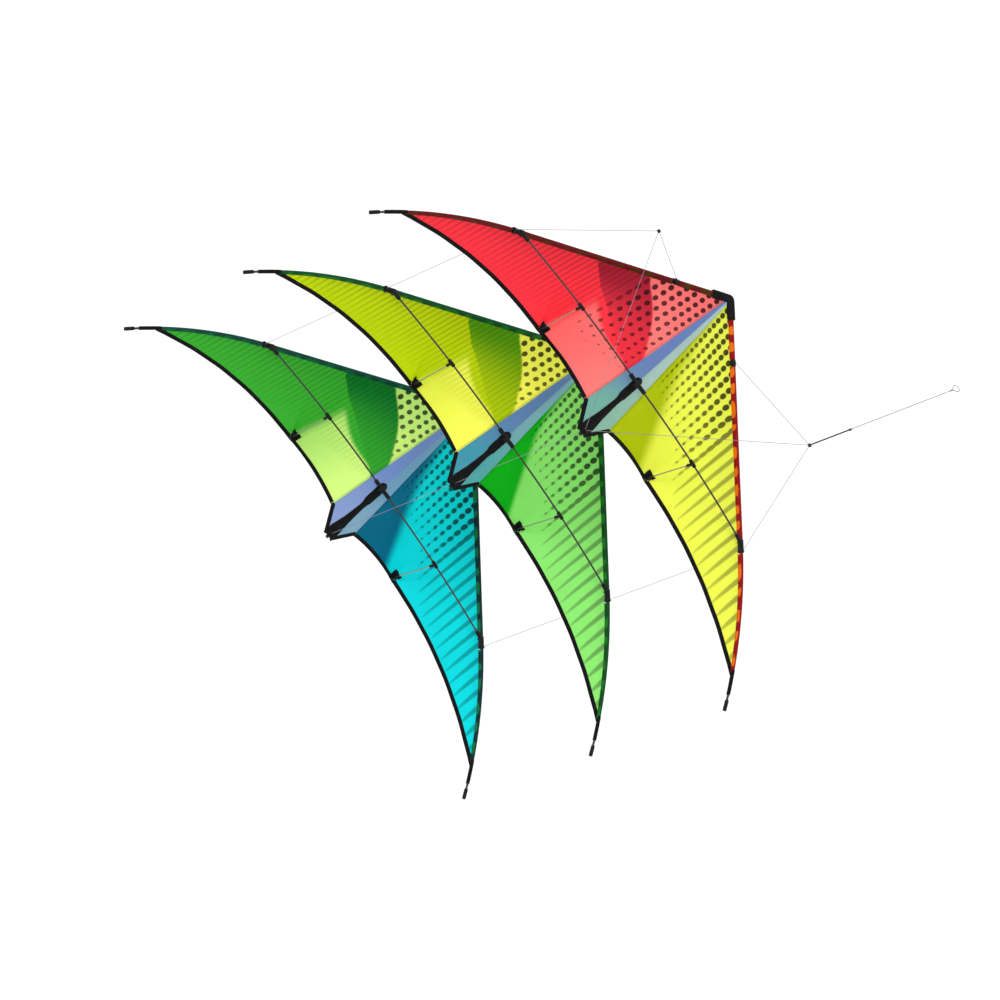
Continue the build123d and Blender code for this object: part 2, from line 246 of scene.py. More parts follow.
# ==== pigtail ====================================================================================
# A short thick cord from the right tow knot, which the flying line is looped on to. Soft braided
# polyester over a core, with one stopper knot in its end.
PIGTAIL_R = 1.2 * MM
pigtail_low, pigtail_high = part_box("pigtail")
PIGTAIL_TOP = pigtail_high.z
END_KNOT_R = 2.4 * MM
pigtail_line = np.array([(TOW_X, 0, TOW_KNOT_R), (TOW_X, 0, PIGTAIL_TOP - 2 * MM)])
pigtail_points, pigtail_length = spaced_along(pigtail_line, 0.6 * MM)

pigtail = add_piece("pigtail_cord", [braided_tube(pigtail_points, PIGTAIL_R, 5 * MM, around=16)],
                    "flier_lines", dark_braid)
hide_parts("pigtail")
end_knot = add_piece("pigtail_knot", [pulled_knot((TOW_X, 0, PIGTAIL_TOP - 2 * MM), END_KNOT_R, 0.8 * MM)],
                     "flier_lines", dark_braid)

# ==== flying line and its loop ===================================================================
# Thin braided line, hitched over the pigtail's knot. The flier's pull keeps it straight. Its end is
# folded back into a loop and bound with thread, and the handle's line takes hold there.
grey_braid = cord_finish("grey_braid", paint(104, 106, 114), paint(146, 148, 156))
LINE_R = 0.6 * MM
line_low, line_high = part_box("flying_line")
loop_low, loop_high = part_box("line_loop")
line_path = np.array([(TOW_X, 0, line_low.z), (TOW_X, 0, line_high.z)])
line_points, line_length = spaced_along(line_path, 0.7 * MM)
flying_line = add_piece("flying_line_cord", [braided_tube(line_points, LINE_R, 2.5 * MM, around=10)],
                        "flier_lines", grey_braid)
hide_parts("flying_line")

LOOP_HEIGHT = loop_high.z - line_high.z
LOOP_HALF_WIDTH = 7.5 * MM
WHIPPING_R = 1.15 * MM
WHIPPING = 6.5 * MM


def end_loop():
    """A drop-shaped eye: width goes as the sine of the turn times its half angle's sine, so it starts in a
    point."""
    turn = np.linspace(0.0, 2 * np.pi, 80)
    width = LOOP_HALF_WIDTH * np.sin(turn) * np.sin(turn / 2)
    height = (LOOP_HEIGHT - WHIPPING - LINE_R) * (1 - np.cos(turn)) / 2
    line = np.stack([TOW_X + width, np.zeros(80), line_high.z + WHIPPING + height], 1)
    return braided_tube(line, LINE_R, 2.5 * MM)


def thread_binding(foot, length, radius, pitch):
    """Thread wound round a cord: a cylinder whose radius rises and falls once in each turn, narrowed at its
    ends."""
    along = np.linspace(0, 1, 120)[:, None]
    angle = np.linspace(0, 2 * np.pi, 20, endpoint=False)[None, :]
    turns = length / pitch
    reach = radius * (0.93 + 0.07 * np.cos(2 * np.pi * turns * along - angle))
    reach = reach * np.clip(np.minimum(along, 1 - along) * 12, 0.3, 1) ** 0.5
    points = np.stack([foot[0] + reach * np.cos(angle), foot[1] + reach * np.sin(angle),
                       foot[2] + length * along + 0 * angle], -1)
    return points, grid_faces(120, 20, round_columns=True, capped=True)


hitch = pulled_knot((TOW_X, 0, line_low.z + 2 * MM), 2.0 * MM, 0.55 * MM)
whipping = thread_binding((TOW_X, 0, line_high.z - 0.5 * MM), WHIPPING, WHIPPING_R, 0.5 * MM)
line_loop = add_piece("flying_line_loop", [end_loop(), whipping], "flier_lines", grey_braid)
line_hitch = add_piece("flying_line_hitch", [hitch], "flier_lines", grey_braid)
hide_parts("line_loop")

# ==== bridle =====================================================================================
# Each side of the front kite hangs by three legs of thin braided line: one from the spreader joint, one
# from high on the leading edge and one from the tail. They are tied on, and always taut in flight.
NOSE_Y = 260 * MM
JOINT_X, JOINT_Y = 320 * MM, -15 * MM
TIP_X, TIP_Y = 500 * MM, -229 * MM
UPPER_X = 84 * MM
LINE_PAST_JOINT = 8 * MM
TAIL_LINE_Y = -135 * MM
FITTING_ROOM = 6.2 * MM
BRIDLE_R = 0.45 * MM

straight = math.hypot(JOINT_X, NOSE_Y - JOINT_Y)
EDGE_X, EDGE_Y = JOINT_X / straight, (JOINT_Y - NOSE_Y) / straight
chord = math.hypot(TIP_X - JOINT_X, TIP_Y - JOINT_Y)
half_turn = math.atan2(EDGE_Y, EDGE_X) - math.atan2(TIP_Y - JOINT_Y, TIP_X - JOINT_X)
ARC_R = chord / (2 * math.sin(half_turn))
ARC_X, ARC_Y = JOINT_X + ARC_R * EDGE_Y, JOINT_Y - ARC_R * EDGE_X


def edge_y(x):
    """Height of the leading edge spar at a distance from the spine: straight to the joint, then a round
    arc."""
    rise = NOSE_Y + x * EDGE_Y / EDGE_X
    return np.where(x <= JOINT_X, rise, ARC_Y + np.sqrt(ARC_R**2 - (np.maximum(x, JOINT_X) - ARC_X) ** 2))


def line_from(start, end):
    """A taut bridle or train line from one point to another."""
    points, length = spaced_along(np.array([start, end]), 0.8 * MM)
    return braided_tube(points, BRIDLE_R, 2.5 * MM, around=8)


LINE_X = JOINT_X + LINE_PAST_JOINT * EDGE_X
LINE_Y = float(edge_y(LINE_X))
UPPER_Y = float(edge_y(UPPER_X))
front_zero = kite_zero("front")
for side_name, side in SIDES.items():
    tow = np.array([side * TOW_X, 0, 0])
    feet = [(side * LINE_X, LINE_Y, FITTING_ROOM), (side * UPPER_X, UPPER_Y, FITTING_ROOM),
            (side * 1.4 * MM, TAIL_LINE_Y, 2.6 * MM)]
    legs = []
    for foot in feet:
        foot = front_zero + np.array(foot)
        legs.append(line_from(tow + unit(foot - tow) * 3.0 * MM, foot))
    bridle = add_piece(f"bridle_{side_name}_legs", legs, "front_kite", grey_braid)
    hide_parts(f"bridle_{side_name}")

# ==== train lines ================================================================================
# Five equal lines tie each kite to the one behind it, at the two spreader joints, at the two upper points
# and at the tail, so that the whole stack flies as one kite. Same thin braided line as the bridle.
GAPS = {"first": ("front", "middle"), "second": ("middle", "rear")}
TRAIN_POINTS = {
    "lower": [(-LINE_X, LINE_Y), (LINE_X, LINE_Y)],
    "upper": [(-UPPER_X, UPPER_Y), (UPPER_X, UPPER_Y)],
    "tail": [(0.0, TAIL_LINE_Y)],
}
for gap, (nearer, further) in GAPS.items():
    for line_name, points in TRAIN_POINTS.items():
        room = 9.0 * MM if line_name == "tail" else FITTING_ROOM
        lines = []
        for x, y in points:
            start = kite_zero(nearer) + np.array([x, y, -room])
            end = kite_zero(further) + np.array([x, y, FITTING_ROOM])
            lines.append(line_from(start, end))
        train = add_piece(f"{gap}_train_{line_name}_lines", lines, f"{gap}_{line_name}_lines", grey_braid)
        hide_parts(f"{gap}_train_{line_name}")


# ==== ties ======================================================================================
# Where a line meets the frame it goes round the fitting in a lark's head and is stopped by a small knot.
# The tail lines pass through the tail patch and round the end of the spine.
def tie_ring(centre, across, along, radius_across, radius_along):
    """A turn of line round a fitting: an ellipse in the plane of two directions, drawn as a closed cord."""
    turn = np.linspace(0, 2 * np.pi, 48, endpoint=False)[:, None]
    line = centre + radius_across * np.cos(turn) * across + radius_along * np.sin(turn) * along
    return braided_tube(line, BRIDLE_R, 2.5 * MM, around=8, closed=True)


def kite_ties(kite):
    """Every tie of one kite: two turns and a knot at each joint and upper point, and the turns round the
    tail."""
    zero = kite_zero(kite)
    shells = []
    across_edge = np.array([EDGE_Y, -EDGE_X, 0.0])
    up = np.array([0.0, 0.0, 1.0])
    for side in SIDES.values():
        mirror = np.array([side, 1, 1])
        for x, y, reach in ((LINE_X, LINE_Y, 5.4 * MM), (UPPER_X, UPPER_Y, 5.2 * MM)):
            for slip in (-0.7 * MM, 0.7 * MM):
                centre = zero + mirror * np.array([x + slip * EDGE_X, y + slip * EDGE_Y, 0])
                shells.append(tie_ring(centre, mirror * across_edge, up, reach, reach))
            for end in (1, -1) if kite != "rear" else (1,):
                shells.append(pulled_knot(zero + mirror * np.array([x, y, end * (reach + 1.0 * MM)]),
                                          1.9 * MM, 0.5 * MM))
    for slip in (-0.7 * MM, 0.7 * MM):
        centre = zero + np.array([0, TAIL_LINE_Y + slip, -4.2 * MM])
        shells.append(tie_ring(centre, np.array([1.0, 0, 0]), up, 4.2 * MM, 5.6 * MM))
    for height in (2.4 * MM, -10.2 * MM) if kite != "rear" else (2.4 * MM,):
        shells.append(pulled_knot(zero + np.array([0, TAIL_LINE_Y, height]), 1.9 * MM, 0.5 * MM))
    return shells


for kite in KITES:
    add_piece(f"{kite}_line_ties", kite_ties(kite), f"{kite}_kite", dark_braid)

# ==== sails ======================================================================================
# Each wing is one piece of printed ripstop nylon, 0.1 mm thick, sewn to the sleeve of the leading edge and
# to the centre panel. The standoffs push its back edge behind the frame and the wind fills it.
SEAM_TOP_X = 2.9 * MM
CORNER_X, CORNER_Y = 33 * MM, -84 * MM
STANDOFF_X, STANDOFF_Y = 153 * MM, -16 * MM
SAIL_END_X = 466 * MM
SAIL_DEPTH = 114 * MM
OUTER_HOLLOW, INNER_HOLLOW = 26 * MM, 6 * MM
FAN_REACH = 58 * MM
SAIL_INSET = 2.9 * MM
SAIL_T = 0.35 * MM
END_CHORD = 1.5 * MM


def edge_slope(x):
    """Slope of the leading edge there."""
    bent = -(x - ARC_X) / (edge_y(x) - ARC_Y)
    return np.where(x <= JOINT_X, EDGE_Y / EDGE_X, bent)


SAIL_END_Y = float(edge_y(SAIL_END_X) - SAIL_INSET * np.hypot(1, edge_slope(SAIL_END_X))) - END_CHORD


def back_edge(x):
    """Height and depth of the trailing edge: two hollow arcs that meet at the standoff, where it is
    deepest."""
    inner = np.clip((x - CORNER_X) / (STANDOFF_X - CORNER_X), 0, 1)
    outer = np.clip((x - STANDOFF_X) / (SAIL_END_X - STANDOFF_X), 0, 1)
    inner_y = CORNER_Y + inner * (STANDOFF_Y - CORNER_Y) + INNER_HOLLOW * 4 * inner * (1 - inner)
    outer_y = STANDOFF_Y + outer * (SAIL_END_Y - STANDOFF_Y) + OUTER_HOLLOW * 4 * outer * (1 - outer)
    y = np.where(x < STANDOFF_X, inner_y, outer_y)
    depth = SAIL_DEPTH * np.where(x < STANDOFF_X, x / STANDOFF_X, 1 - outer**1.15)
    return y, depth


KNEE_TOP = (18 * MM, 115 * MM)
KNEE_DEPTH, KNEE_WIDTH = 13 * MM, 42 * MM
BILLOW = 4 * MM


def wing_point(kite, side, a, s):
    """Cloth of a wing, a across from the seam (0) to the sail's end (1) and s back from the spar (0) to the
    trailing edge (1). Straight ribs join the two edges, fanned out near the seam. They are pushed back by a
    billow in the outer wing, by a soft ridge from the seam to the standoff, by pulls that fan out of the
    standoff, and by puckers along the leading edge."""
    top_x = SEAM_TOP_X + a * (SAIL_END_X - SEAM_TOP_X)
    fan = np.clip(1 - (top_x - SEAM_TOP_X) / FAN_REACH, 0, 1) ** 2
    foot_x = top_x + (CORNER_X - SEAM_TOP_X) * fan
    foot_y, foot_depth = back_edge(foot_x)
    x = top_x + s * (foot_x - top_x)
    y = (1 - s) * edge_y(top_x) + s * foot_y
    depth = s * foot_depth

    run = np.array([STANDOFF_X - KNEE_TOP[0], STANDOFF_Y - KNEE_TOP[1]])
    length = np.hypot(*run)
    along = ((x - KNEE_TOP[0]) * run[0] + (y - KNEE_TOP[1]) * run[1]) / length**2
    off = ((x - KNEE_TOP[0]) * run[1] - (y - KNEE_TOP[1]) * run[0]) / length
    ridge = np.sqrt(np.clip(4 * along * (1 - along), 0, 1)) * np.exp(-((off / KNEE_WIDTH) ** 2))
    held = np.clip(a / 0.05, 0, 1) * np.clip((1 - s) / 0.05, 0, 1) * np.clip(s / 0.08, 0, 1)
    outward = np.clip((x - 0.09) / (SAIL_END_X - 0.09), 0, 1)
    billow = 4 * s * (1 - s) * np.sin(np.pi * outward) ** 0.8

    from_standoff = np.hypot(x - STANDOFF_X, y - STANDOFF_Y)
    bearing = np.arctan2(y - STANDOFF_Y, x - STANDOFF_X)
    pulls = np.cos(13 * bearing) * np.exp(-from_standoff / 0.07) * from_standoff / (from_standoff + 0.02)
    back = s * (edge_y(top_x) - foot_y)
    puckers = np.cos(2 * np.pi * top_x / (17 * MM)) * np.exp(-back / (14 * MM)) * np.clip(back / (6 * MM),
                                                                                          0, 1)
    flutter = np.cos(2 * np.pi * x / (61 * MM)) * np.exp((s - 1) * 9) * outward
    depth = depth + held * (KNEE_DEPTH * ridge + BILLOW * billow + 0.6 * MM * pulls)
    depth = depth + 0.25 * MM * puckers + 0.5 * MM * flutter
    return kite_zero(kite) + np.stack([side * x, y + 0 * x, -depth], -1)


def across_at(x):
    """The across share of the rib whose upper end is at x."""
    return (x - SEAM_TOP_X) / (SAIL_END_X - SEAM_TOP_X)


def rib_share(x, back):
    """The share of the rib at x that is a distance back from the spar."""
    return np.minimum(back / (edge_y(x) - back_edge(x)[0]), 0.9)


# Boundaries of the wings' colours, of their painted lit facet, painted shade wedge and painted shade, in
# millimetres of a kite's own plan: from, to, bow towards the nose, softness.
FACET_TOP = ((-136, 70), (-16, 11), 0, 5)
FACET_OUTER = ((-153, -16), (-136, 70), 0, 12)
SHADE_WEDGE_LOWER = ((-190, 86), (-23, 7), 23, 1.5)
SHADE_WEDGE_UPPER = ((-122, 153), (-19, 42), 23, 3)
RIGHT_SHADES = {
    "front": ((8, 190), (146, -36), -20, 16),
    "middle": ((8, 190), (146, -36), -35, 9),
    "rear": ((8, 190), (146, -36), -24, 14),
}


def beside(tree, x, y, first, second, bow, soft):
    """1 on the left of the way from one point to another, 0 on its right. The way is a parabola that bows
    to its own left by bow at its middle: the signed distance from the straight way, less 4 t (1 - t) bow at
    a share t along it."""
    (x0, y0), (x1, y1) = first, second
    length = math.hypot(x1 - x0, y1 - y0)
    ahead_x, ahead_y = (x1 - x0) / length, (y1 - y0) / length
    from_x = calc(tree, "SUBTRACT", x, x0)
    from_y = calc(tree, "SUBTRACT", y, y0)
    left = calc(tree, "SUBTRACT", calc(tree, "MULTIPLY", from_y, ahead_x),
                calc(tree, "MULTIPLY", from_x, ahead_y))
    if bow:
        run = calc(tree, "ADD", calc(tree, "MULTIPLY", from_x, ahead_x),
                   calc(tree, "MULTIPLY", from_y, ahead_y))
        along = calc(tree, "DIVIDE", run, length)
        arch = calc(tree, "MAXIMUM", calc(tree, "MULTIPLY", along, calc(tree, "SUBTRACT", 1.0, along)), 0.0)
        left = calc(tree, "SUBTRACT", left, calc(tree, "MULTIPLY", arch, 4.0 * bow))
    return eased(tree, left, -soft, soft)


COLUMN = 18.5
ROWS = {"left": (16.0, 0.08), "right": (12.5, 0.285)}


def printed_ink(tree, x, y, share, kite, side_name, stripe_strength):
    """The print: round dots in staggered columns near the nose, stripes further along the wing (two to a
    column on a left wing), all thinner and paler further from the leading edge. Millimetres of the kite's
    own plan, and the share of the chord. The columns stand a little further apart towards the tip: a
    column's number goes as the square root of its distance out."""
    row_pitch, row_start = ROWS[side_name]
    slant = EDGE_Y / EDGE_X
    far_out = calc(tree, "ABSOLUTE", x)
    edge_here = calc(tree, "ADD", calc(tree, "MULTIPLY", far_out, slant), NOSE_Y / MM)
    lean = calc(tree, "MULTIPLY", calc(tree, "SUBTRACT", calc(tree, "SUBTRACT", edge_here, y), 20.0), 0.12)
    out = calc(tree, "SUBTRACT", far_out, lean)
    root = calc(tree, "SQRT", calc(tree, "ADD", calc(tree, "MULTIPLY", out, 10.81), 7930.0))
    column = calc(tree, "SUBTRACT", root, 90.81)
    number = calc(tree, "ROUND", column)
    beside_centre = calc(tree, "MULTIPLY", calc(tree, "SUBTRACT", column, number), COLUMN)
    spread = calc(tree, "ADD", calc(tree, "MULTIPLY", number, 0.0925), 16.8)
    column_out = calc(tree, "ADD", calc(tree, "MULTIPLY", number, spread), 29.3)
    column_edge = calc(tree, "ADD", calc(tree, "MULTIPLY", column_out, slant), NOSE_Y / MM)
    rows_back = calc(tree, "DIVIDE", calc(tree, "SUBTRACT", column_edge, y), row_pitch)
    stagger = calc(tree, "ADD", calc(tree, "MULTIPLY", number, 0.5), row_start)
    row = calc(tree, "FRACT", calc(tree, "ADD", rows_back, stagger))
    if side_name == "left" and kite != "front":
        roundness = beside(tree, x, y, *SHADE_WEDGE_UPPER)
    else:
        turn = (95.0, 150.0) if side_name == "left" else (135.0, 205.0)
        roundness = calc(tree, "SUBTRACT", 1.0, eased(tree, out, *turn))
    from_row = calc(tree, "MULTIPLY", calc(tree, "SUBTRACT", row, 0.5), row_pitch)
    above_centre = calc(tree, "MULTIPLY", from_row, roundness)
    squares = calc(tree, "ADD", calc(tree, "POWER", beside_centre, 2.0),
                   calc(tree, "POWER", above_centre, 2.0))
    away = calc(tree, "SQRT", squares)
    near_nose = 0.76 if side_name == "left" else 0.6
    reach = calc(tree, "ADD", near_nose,
                 calc(tree, "MULTIPLY", eased(tree, out, 110.0, 230.0), 0.92 - near_nose))
    fade = calc(tree, "SUBTRACT", 1.0, calc(tree, "MINIMUM", calc(tree, "DIVIDE", share, reach), 1.0))
    full = calc(tree, "ADD", 3.3, calc(tree, "MULTIPLY", roundness, 2.3))
    size = calc(tree, "MULTIPLY", calc(tree, "POWER", fade, 0.38), full)
    mark = eased(tree, calc(tree, "SUBTRACT", size, away), -0.6, 0.6)
    drawn_out = 0.0 if side_name == "left" else stripe_strength
    strength = calc(tree, "ADD", drawn_out, calc(tree, "MULTIPLY", roundness, 0.95 - drawn_out))
    dots = calc(tree, "MULTIPLY", mark, strength)

    per_column = 2.0 if side_name == "left" else 1.0
    under_dots = 1.0 if side_name == "left" else 0.6
    stripe = calc(tree, "MULTIPLY", column, per_column)
    from_whole = calc(tree, "ABSOLUTE", calc(tree, "SUBTRACT", stripe, calc(tree, "ROUND", stripe)))
    from_stripe = calc(tree, "MULTIPLY", from_whole, COLUMN / per_column)
    half_stripe = calc(tree, "MULTIPLY", calc(tree, "POWER", fade, 0.38), 3.6 / per_column)
    band = eased(tree, calc(tree, "SUBTRACT", half_stripe, from_stripe), -1.4, 1.4)
    seen = calc(tree, "SUBTRACT", 1.0, calc(tree, "MULTIPLY", roundness, under_dots))
    stripes = calc(tree, "MULTIPLY", band, calc(tree, "MULTIPLY", seen, stripe_strength))
    ink = calc(tree, "MAXIMUM", dots, stripes)
    return calc(tree, "MULTIPLY", ink, calc(tree, "POWER", fade, 0.25))


def wing_colour(tree, x, y, share, kite, cloth, inner, shade_wedge):
    """The cloth's own colours, with painted light and shade. Right wings (no shade wedge): the inner colour next
    to the seam, a painted shade. Left wings: the inner colour in a painted lit facet under the spreader and
    again towards the nose, and a painted shade wedge between them that fades away from the leading edge."""
    if shade_wedge is None:
        # Painted shade: the inner colour beside the seam of a right wing.
        towards_seam = calc(tree, "SUBTRACT", 1.0, beside(tree, x, y, *RIGHT_SHADES[kite]))
        return tinted(tree, towards_seam, cloth, inner)
    # Painted light: a lit facet under the spreader, in the inner colour, paler outwards.
    under = calc(tree, "SUBTRACT", 1.0, beside(tree, x, y, *FACET_TOP))
    within = calc(tree, "SUBTRACT", 1.0, beside(tree, x, y, *FACET_OUTER))
    lit_facet_outer = tuple(0.65 * i + 0.35 * c for i, c in zip(inner, cloth))
    lit_facet = tinted(tree, eased(tree, calc(tree, "ABSOLUTE", x), 30.0, 170.0), inner, lit_facet_outer)
    colour = tinted(tree, calc(tree, "MULTIPLY", under, within), cloth, lit_facet)
    # Painted light: the lit zone towards the nose, in the inner colour.
    noseward = beside(tree, x, y, *SHADE_WEDGE_UPPER)
    nose_share = calc(tree, "ADD", 0.78, calc(tree, "MULTIPLY", eased(tree, share, 0.02, 0.5), 0.22))
    colour = tinted(tree, calc(tree, "MULTIPLY", noseward, nose_share), colour, inner)
    # Painted shade: the darker wedge between the lit facet and the nose, fading away from the leading edge.
    in_shade_wedge = calc(tree, "MULTIPLY", beside(tree, x, y, *SHADE_WEDGE_LOWER), calc(tree, "SUBTRACT", 1.0, noseward))
    wedge_shade_fading = tuple(0.2 * g + 0.8 * c for g, c in zip(shade_wedge, cloth))
    return tinted(tree, in_shade_wedge, colour, tinted(tree, eased(tree, share, 0.1, 0.6), shade_wedge, wedge_shade_fading))


def sail_finish(kite, side_name, cloth, inner, shade_wedge, ink, stripe_strength):
    """Printed ripstop: a fine weave with a raised grid of thicker threads, the wing's colours with their painted
    light and shade, a painted shade near the leading edge, uneven tone and the print."""
    material, tree, shader, place = new_material(f"{kite}_ripstop_{side_name}", 0.65, Specular_IOR_Level=0.12)
    zero = kite_zero(kite)
    split = tree.nodes.new("ShaderNodeSeparateXYZ")
    tree.links.new(place, split.inputs[0])
    x = calc(tree, "MULTIPLY", split.outputs["X"], 1000.0)
    y = calc(tree, "MULTIPLY", calc(tree, "SUBTRACT", split.outputs["Y"], float(zero[1])), 1000.0)
    own_map = tree.nodes.new("ShaderNodeUVMap")
    own_map.uv_map = "cloth"
    cloth_split = tree.nodes.new("ShaderNodeSeparateXYZ")
    tree.links.new(own_map.outputs[0], cloth_split.inputs[0])
    share = cloth_split.outputs["Y"]

    # Painted shade, darker near the leading edge, and an uneven tone from noise.
    edge_shade_and_mottle = tree.nodes.new("ShaderNodeHueSaturation")
    edge_shade = calc(tree, "SUBTRACT", 1.0, eased(tree, share, 0.0, 0.45))
    darker = calc(tree, "ADD", calc(tree, "MULTIPLY", edge_shade, 0.08),
                  calc(tree, "MULTIPLY", noise(tree, place, 14.0), 0.1))
    tree.links.new(calc(tree, "SUBTRACT", 1.09, darker), edge_shade_and_mottle.inputs["Value"])
    tree.links.new(wing_colour(tree, x, y, share, kite, cloth, inner, shade_wedge), edge_shade_and_mottle.inputs["Color"])
    colour = edge_shade_and_mottle.outputs[0]
    colour = tinted(tree, printed_ink(tree, x, y, share, kite, side_name, stripe_strength), colour, ink)
    tree.links.new(colour, shader.inputs["Base Color"])

    threads = []
    for way in (x, y):
        from_thread = calc(tree, "ABSOLUTE",
                           calc(tree, "SUBTRACT", calc(tree, "FRACT", calc(tree, "DIVIDE", way, 5.0)), 0.5))
        threads.append(calc(tree, "SUBTRACT", 1.0, eased(tree, from_thread, 0.02, 0.07)))
    grid = calc(tree, "MAXIMUM", *threads)
    weave = calc(tree, "ADD", grid, calc(tree, "MULTIPLY", noise(tree, place, 1500.0), 0.6))
    bump = raised(tree, shader, weave, 0.35, 0.12 * MM)

    through = tree.nodes.new("ShaderNodeBsdfTranslucent")
    tree.links.new(colour, through.inputs["Color"])
    tree.links.new(bump.outputs["Normal"], through.inputs["Normal"])
    both = tree.nodes.new("ShaderNodeMixShader")
    both.inputs["Fac"].default_value = 0.3
    tree.links.new(shader.outputs[0], both.inputs[1])
    tree.links.new(through.outputs[0], both.inputs[2])
    tree.links.new(both.outputs[0], tree.nodes["Material Output"].inputs["Surface"])
    return material


# cloth, inner colour (painted light on a left wing, painted shade on a right wing), painted shade wedge
# (left wings only), ink, strength of the stripes
SAIL_COLOURS = {
    "front_left": (paint(252, 60, 76), paint(255, 138, 134), paint(184, 34, 58), paint(40, 6, 14), 0.3),
    "front_right": (paint(240, 246, 88), paint(192, 208, 6), None, paint(20, 26, 4), 0.5),
    "middle_left": (paint(204, 226, 6), paint(253, 255, 106), paint(94, 172, 8), paint(14, 30, 2), 0.3),
    "middle_right": (paint(154, 238, 126), paint(4, 190, 24), None, paint(2, 38, 14), 0.5),
    "rear_left": (paint(66, 190, 56), paint(228, 254, 150), paint(6, 134, 46), paint(2, 28, 16), 0.3),
    "rear_right": (paint(4, 226, 232), paint(2, 118, 154), None, paint(2, 26, 40), 0.5),
}
ACROSS, BACK = 170, 96


def give_chart(piece, name, chart):
    """Gives each vertex its own place on a named map of the piece."""
    corners = np.zeros(len(piece.data.loops), np.int32)
    piece.data.loops.foreach_get("vertex_index", corners)
    places = np.asarray(chart, np.float32).reshape(-1, 2)
    piece.data.uv_layers.new(name=name).data.foreach_set("uv", places[corners].ravel())


def make_sail(kite, side_name, side, cloth):
    """One wing: a grid that is closer together near the seam, given the cloth's thickness."""
    a = np.linspace(0, 1, ACROSS)[:, None] ** 1.15
    top_x = SEAM_TOP_X + a * (SAIL_END_X - SEAM_TOP_X)
    start = rib_share(top_x, SAIL_INSET * np.hypot(1, edge_slope(top_x)))
    s = start + (1 - start) * np.linspace(0, 1, BACK)[None, :]
    points = wing_point(kite, side, a, s)
    piece = add_piece(f"{kite}_wing_{side_name}", [(points, grid_faces(ACROSS, BACK))], f"{kite}_kite", cloth,
                      outward=False)
    give_chart(piece, "cloth", np.stack([a + 0 * s, s], -1))
    thickness = piece.modifiers.new("cloth thickness", "SOLIDIFY")
    thickness.thickness = SAIL_T
    thickness.offset = 0.0
    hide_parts(f"{kite}_sail_{side_name}")
    return piece


cloths = {}
for kite in KITES:
    for side_name, side in SIDES.items():
        cloth = sail_finish(kite, side_name, *SAIL_COLOURS[f"{kite}_{side_name}"])
        cloths[kite, side_name] = cloth
        wing = make_sail(kite, side_name, side, cloth)


# ==== centre panel ===============================================================================
# A narrow translucent panel of laminated film joins the wings over the spine, folded along it. The centre
# tee's neck comes through a hole in it, and its foot ends in a blunt V at the tail.
PANEL_TOP_Y = 252 * MM
PANEL_TAIL_Y = -138 * MM
PANEL_TAIL_HALF = 10 * MM
TEE_HOLE_X, TEE_HOLE_Y = 5.5 * MM, 13 * MM
TEE_NECK_X, TEE_NECK_Y = 4.2 * MM, 9.2 * MM
PANEL_T = 0.3 * MM


def panel_half_width(y):
    """Half the panel's width: along the wings' seams down to its corners, then drawn in straight to the
    tail."""
    down = np.clip((edge_y(SEAM_TOP_X) - y) / (edge_y(SEAM_TOP_X) - CORNER_Y), 0, 1)
    seam = SEAM_TOP_X + down * (CORNER_X - SEAM_TOP_X)
    drawn_in = np.clip((CORNER_Y - y) / (CORNER_Y - PANEL_TAIL_Y), 0, 1)
    return np.where(y >= CORNER_Y, seam, CORNER_X + drawn_in * (PANEL_TAIL_HALF - CORNER_X))


def panel_depth(x, y):
    """How far the panel lies behind its fold: it falls evenly to the seam, which falls evenly to the
    corner."""
    down = np.clip((edge_y(SEAM_TOP_X) - y) / (edge_y(SEAM_TOP_X) - CORNER_Y), 0, 1)
    corner_depth = SAIL_DEPTH * CORNER_X / STANDOFF_X
    steepness = np.where(y >= CORNER_Y, down * corner_depth / panel_half_width(np.maximum(y, CORNER_Y)),
                         corner_depth / CORNER_X)
    return np.abs(x) * steepness


def panel_point(kite, x, y, lift=0.0):
    """A point of the panel's face, raised by a lift towards the flier."""
    return kite_zero(kite) + np.stack([x, y + 0 * x, lift - panel_depth(x, y)], -1)


def make_panel(kite, material):
    """Rows across the panel, one of them on each edge of the tee's hole, with the quads of the hole left
    out."""
    rows = np.concatenate([np.linspace(PANEL_TOP_Y, TEE_HOLE_Y, 60),
                           np.linspace(TEE_HOLE_Y, -TEE_HOLE_Y, 9)[1:],
                           np.linspace(-TEE_HOLE_Y, CORNER_Y, 20)[1:],
                           np.linspace(CORNER_Y, PANEL_TAIL_Y, 16)[1:]])
    hole_share = TEE_HOLE_X / float(panel_half_width(0.0))
    half = np.concatenate([np.linspace(0, hole_share, 4), np.linspace(hole_share, 1, 10)[1:]])
    shares = np.concatenate([-half[:0:-1], half])
    y = rows[:, None]
    x = shares[None, :] * panel_half_width(y)
    faces = np.array(grid_faces(len(rows), len(shares)))
    middle = panel_point(kite, x, y).reshape(-1, 3)[faces].mean(1) - kite_zero(kite)
    hole = (np.abs(middle[:, 0]) < TEE_HOLE_X * 1.02) & (np.abs(middle[:, 1]) < TEE_HOLE_Y)
    piece = add_piece(f"{kite}_panel", [(panel_point(kite, x, y), faces[~hole].tolist())], f"{kite}_kite",
                      material,
                      smooth=False, outward=False)
    thickness = piece.modifiers.new("film thickness", "SOLIDIFY")
    thickness.thickness = PANEL_T
    thickness.offset = 0.0
    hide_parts(f"{kite}_centre_panel")
    return piece


